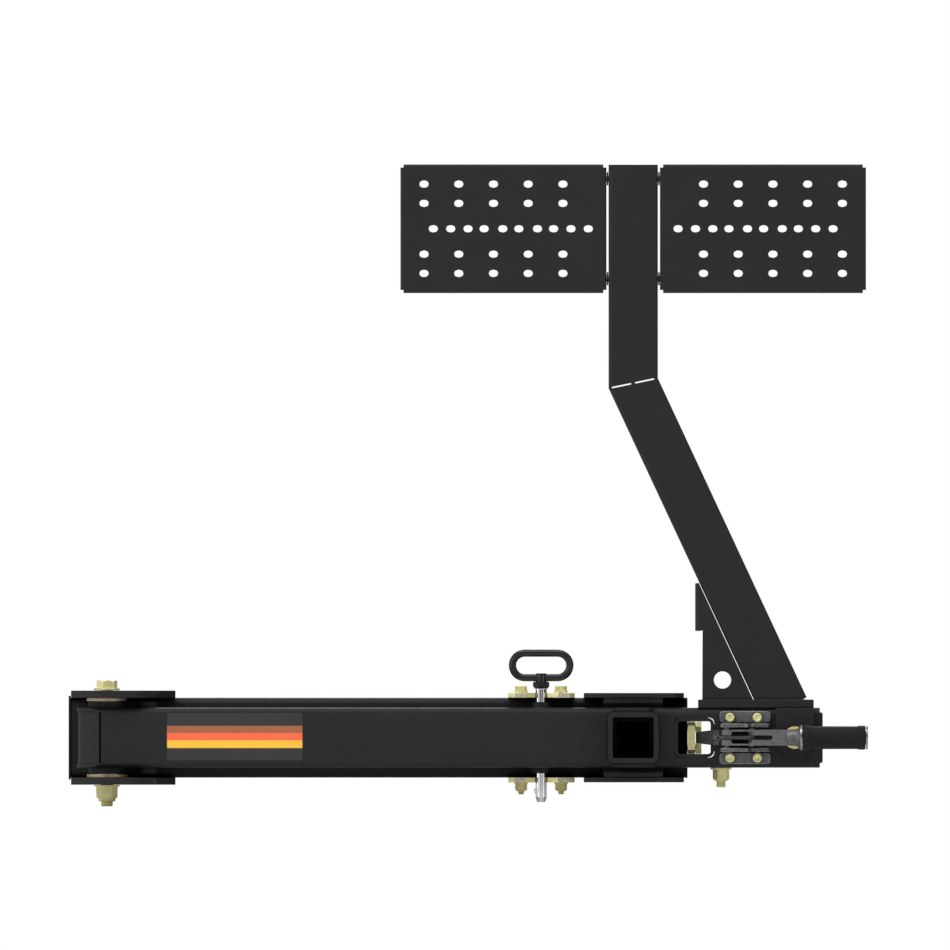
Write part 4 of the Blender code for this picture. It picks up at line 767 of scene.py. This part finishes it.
def make_grip():
    """Rubber sleeve with a collar and an end ring, between a flared neck and a steel end disc."""
    low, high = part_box("latch_handle_rod")
    axis = (low + high) / 2
    start, end = low.x, high.x
    place = along((0, axis.y, axis.z), RIGHT)
    bm = bmesh.new()
    add_turned(bm, [(0.0070, start - 0.0130), (0.0092, start - 0.0120), (0.0101, start - 0.0100),
                    (0.0104, start - 0.0050), (0.0108, start - 0.0010), (0.0114, start + 0.0020),
                    (0.0128, start + 0.0038), (0.0150, start + 0.0046), (0.01595, start + 0.0050),
                    (0.01625, start + 0.0058), (0.01625, start + 0.0078), (0.0158, start + 0.0083),
                    (0.0086, start + 0.0085), (0.0086, end - 0.0027), (0.0148, end - 0.0026),
                    (0.0153, end - 0.0021), (0.0153, end - 0.0008), (0.0147, end - 0.0002),
                    (0.0060, end), (0.0050, end - 0.0012), (0.0, end - 0.0013)], 72)
    for face in bm.faces:
        reach = face.calc_center_median().z
        on_collar = start + 0.0046 < reach < start + 0.0086
        face.material_index = 1 if on_collar or reach > end - 0.0027 else 0
    mesh = placed(bm, place, "latch_handle_rod")
    finished("latch_handle_neck", mesh, ["blasted_steel", "dull_steel"], "latch_handle",
             ["latch_handle_rod"], 30)
    grip_low, grip_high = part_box("latch_grip")
    start, end = grip_low.x + 0.0002, grip_high.x - 0.0016
    bm = bmesh.new()
    add_turned(bm, [(0.0088, start), (0.0150, start), (0.01560, start + 0.0006), (0.01565, start + 0.0076),
                    (0.0149, start + 0.0085), (0.0147, start + 0.0090), (0.0146, end - 0.0105),
                    (0.0148, end - 0.0098), (0.01535, end - 0.0090), (0.0155, end - 0.0016),
                    (0.0150, end - 0.0006), (0.0142, end), (0.0088, end)], 72)
    mesh = placed(bm, place, "latch_grip")
    finished("latch_grip_rubber", mesh, "rubber", "latch_handle", ["latch_grip"], 30)


def make_lever():
    """The node's lever with the wide pocket between its cheeks that shows the link."""
    mesh = as_mesh(node_copy("latch_lever"), "latch_lever")
    low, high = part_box("latch_lever")
    left, right, half, past = low.x + 0.0135, low.x + 0.0400, 0.0078, 0.004
    outline = rounded_outline((left, -half), (right, half), 0.0030, 6)
    pocket = plate_between([(u, -v) for u, v in outline], low.y - past, high.y + past,
                           facing_front(-1))
    mesh = carved(mesh, pocket)
    bm = bmesh.new()
    bm.from_mesh(mesh)
    soften(bm, 0.0007, 2, 36)
    bm.to_mesh(mesh)
    bm.free()
    finished("latch_lever_forging", mesh, "blasted_steel", "latch_handle",
             ["latch_lever"])


def make_latch_base(node, side):
    """An angle bracket: a flange on the arm and an ear that stands forward beside the lever."""
    low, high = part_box(node)
    back = high.y
    flange_front = back - 0.0035
    outer = max(abs(low.z), abs(high.z))
    inner = 0.0196
    outline = rounded_outline((low.x, inner), (high.x, outer), 0.0045, 6)
    bm = bmesh.new()
    join(bm, plate_between(outline, flange_front, back, facing_front(side)))
    soften(bm, 0.0008, 3, 40)
    front = low.y + 0.0006
    tall = high.x - low.x
    ear = [(low.x + 0.0006, back), (low.x + 0.0006, front + 0.0040),
           (low.x + 0.0030, front + 0.0008), (low.x + 0.0055, front),
           (low.x + 0.52 * tall, front), (low.x + 0.56 * tall, front + 0.0012),
           (low.x + 0.62 * tall, flange_front - 0.0060),
           (low.x + 0.66 * tall, flange_front - 0.0048),
           (high.x - 0.0040, flange_front - 0.0040), (high.x - 0.0006, flange_front - 0.0010),
           (high.x - 0.0006, back)]
    ear_bm = bmesh.new()
    upright = Matrix(((1, 0, 0, 0), (0, 1, 0, 0), (0, 0, side, 0), (0, 0, 0, 1)))
    join(ear_bm, plate_between(ear, 0.0132, 0.0180, upright))
    soften(ear_bm, 0.0007, 3, 20)
    boss_bm = bmesh.new()
    add_turned(boss_bm, [(0.0020, 0.0040), (0.0038, 0.0042), (0.0040, 0.0136), (0.0040, 0.0178),
                         (0.0062, 0.0179), (0.0064, 0.0186), (0.0050, 0.0194), (0.0020, 0.0196)], 36)
    pivot = (low.x + 0.0095, low.y + 0.0085, 0)
    join(bm, placed(ear_bm, Matrix.Identity(4), "extra"))
    join(bm, placed(boss_bm, Matrix.Translation(pivot) @ upright, "extra"))
    mesh = placed(bm, Matrix.Identity(4), node)
    finished(node + "_bracket", mesh, "blasted_steel", "arm", [node], 30)


def make_link_pin():
    """The rivet that joins the link to the lever."""
    low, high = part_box("latch_link_pin")
    centre = (low + high) / 2
    centre.z = low.z
    tall = high.z - low.z
    bm = bmesh.new()
    add_turned(bm, [(0.0028, 0.0), (0.0038, 0.0003), (0.0040, 0.0010), (0.0040, tall - 0.0010),
                    (0.0038, tall - 0.0003), (0.0028, tall)], 32)
    mesh = placed(bm, Matrix.Translation(centre), "latch_link_pin")
    finished("latch_link_rivet", mesh, "blasted_steel", "latch_handle",
             ["latch_link_pin"], 35)


def make_hook():
    """The node's hook with a small hole in its face, and its link in bare steel."""
    mesh = as_mesh(node_copy("latch_hook"), "latch_hook")
    low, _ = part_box("latch_hook")
    hole = bmesh.new()
    add_turned(hole, [(0.0016, -0.02), (0.0016, 0.02)], 20)
    drill = placed(hole, along((low.x + 0.0284, -0.285, 0.0), FRONT), "hole")
    mesh = carved(mesh, drill)
    bm = bmesh.new()
    bm.from_mesh(mesh)
    soften(bm, 0.0005, 2, 36)
    link_half, link_start = 0.0024, low.x + 0.0300
    for face in bm.faces:
        middle = face.calc_center_median()
        if abs(middle.z) < link_half and middle.x > link_start:
            face.material_index = 1
    bm.to_mesh(mesh)
    bm.free()
    finished("latch_hook_casting", mesh, ["cast_dark", "blasted_steel"], "latch_hook",
             ["latch_hook"])


make_grip()
make_latch_base("latch_base_upper", 1)
make_latch_base("latch_base_lower", -1)
make_lever()
make_link_pin()
make_hook()


# ---------------------------------------------------------------- floor, light and camera
def make_stage():
    """A wide pale floor just under the object."""
    floor_mesh = bpy.data.meshes.new("floor")
    half, gap = 60.0, 0.002
    level = cad_box[0][2] - gap
    floor_mesh.from_pydata([(-half, -half, level), (half, -half, level), (half, half, level),
                            (-half, half, level)], [], [(0, 1, 2, 3)])
    floor = bpy.data.objects.new("floor", floor_mesh)
    bpy.context.scene.collection.objects.link(floor)
    paint = bpy.data.materials.new("floor_paint")
    paint.use_nodes = True
    shader = paint.node_tree.nodes["Principled BSDF"]
    shader.inputs["Base Color"].default_value = (0.86, 0.86, 0.86, 1)
    shader.inputs["Roughness"].default_value = 0.9
    floor_mesh.materials.append(paint)


def make_world():
    """White where the camera sees it, and dimmer where it lights the object."""
    world = bpy.data.worlds.new("studio")
    bpy.context.scene.world = world
    world.use_nodes = True
    tree = world.node_tree
    tree.nodes.clear()
    output = tree.nodes.new("ShaderNodeOutputWorld")
    path = tree.nodes.new("ShaderNodeLightPath")
    mix = tree.nodes.new("ShaderNodeMixShader")
    tree.links.new(path.outputs["Is Camera Ray"], mix.inputs["Fac"])
    as_light, as_seen = (1, 0.12), (2, 1.0)             # the mix node's socket, and a strength
    for socket, strength in (as_light, as_seen):
        white = tree.nodes.new("ShaderNodeBackground")
        white.inputs["Color"].default_value = (1, 1, 1, 1)
        white.inputs["Strength"].default_value = strength
        tree.links.new(white.outputs[0], mix.inputs[socket])
    tree.links.new(mix.outputs[0], output.inputs["Surface"])


def add_area(name, place, target, size_x, size_y, power):
    """A rectangular lamp in watts that faces its target."""
    data = bpy.data.lights.new(name, "AREA")
    data.shape, data.size, data.size_y, data.energy = "RECTANGLE", size_x, size_y, power
    light = bpy.data.objects.new(name, data)
    light.location = place
    light.rotation_euler = (Vector(target) - Vector(place)).to_track_quat("-Z", "Y").to_euler()
    bpy.context.scene.collection.objects.link(light)


def make_lights():
    """Large panels, narrow strips that give long highlights, and one soft sun from above."""
    middle, low_middle = (-0.2, -0.2, 0.25), (-0.12, -0.2, 0.0)
    add_area("key", (-3.5, -3.8, 2.1), middle, 1.2, 3.1, 65)
    add_area("fill", (4.0, -3.9, 1.6), middle, 0.9, 3.1, 39)
    add_area("left", (-3.4, -0.9, 1.0), middle, 0.8, 2.2, 14)
    for name, place, power in (
            ("strip_left", (-1.9, -1.9, 0.25), 2.4), ("strip_right", (1.7, -2.0, 0.25), 1.6),
            ("strip_front", (0.35, -3.3, 0.25), 0.7), ("strip_side", (-2.8, 0.1, 0.25), 2.4)):
        add_area(name, place, low_middle, 0.22, 1.2, power)
    add_area("overhead", (-0.2, -1.5, 2.7), middle, 2.6, 1.0, 25)
    data = bpy.data.lights.new("ceiling", "SUN")
    data.energy, data.angle = 1.3, math.radians(70)
    ceiling = bpy.data.objects.new("ceiling", data)
    ceiling.rotation_euler = Vector((0.05, 0.30, -1.0)).to_track_quat("-Z", "Y").to_euler()
    bpy.context.scene.collection.objects.link(ceiling)
    add_area("back", (0.4, 3.6, 3.0), middle, 3.4, 2.0, 95)


def make_camera():
    """A level view from the front without perspective, framed as the photo is."""
    data = bpy.data.cameras.new("camera")
    data.type = "ORTHO"
    data.ortho_scale = 1.216
    camera = bpy.data.objects.new("camera", data)
    camera.location = (-0.2025, -3.0, 0.3362)
    camera.rotation_euler = (math.radians(90), 0, 0)
    bpy.context.scene.collection.objects.link(camera)
    bpy.context.scene.camera = camera


make_stage()
make_world()
make_lights()
make_camera()
bpy.context.scene.view_settings.view_transform = "Standard"

bpy.context.view_layer.update()
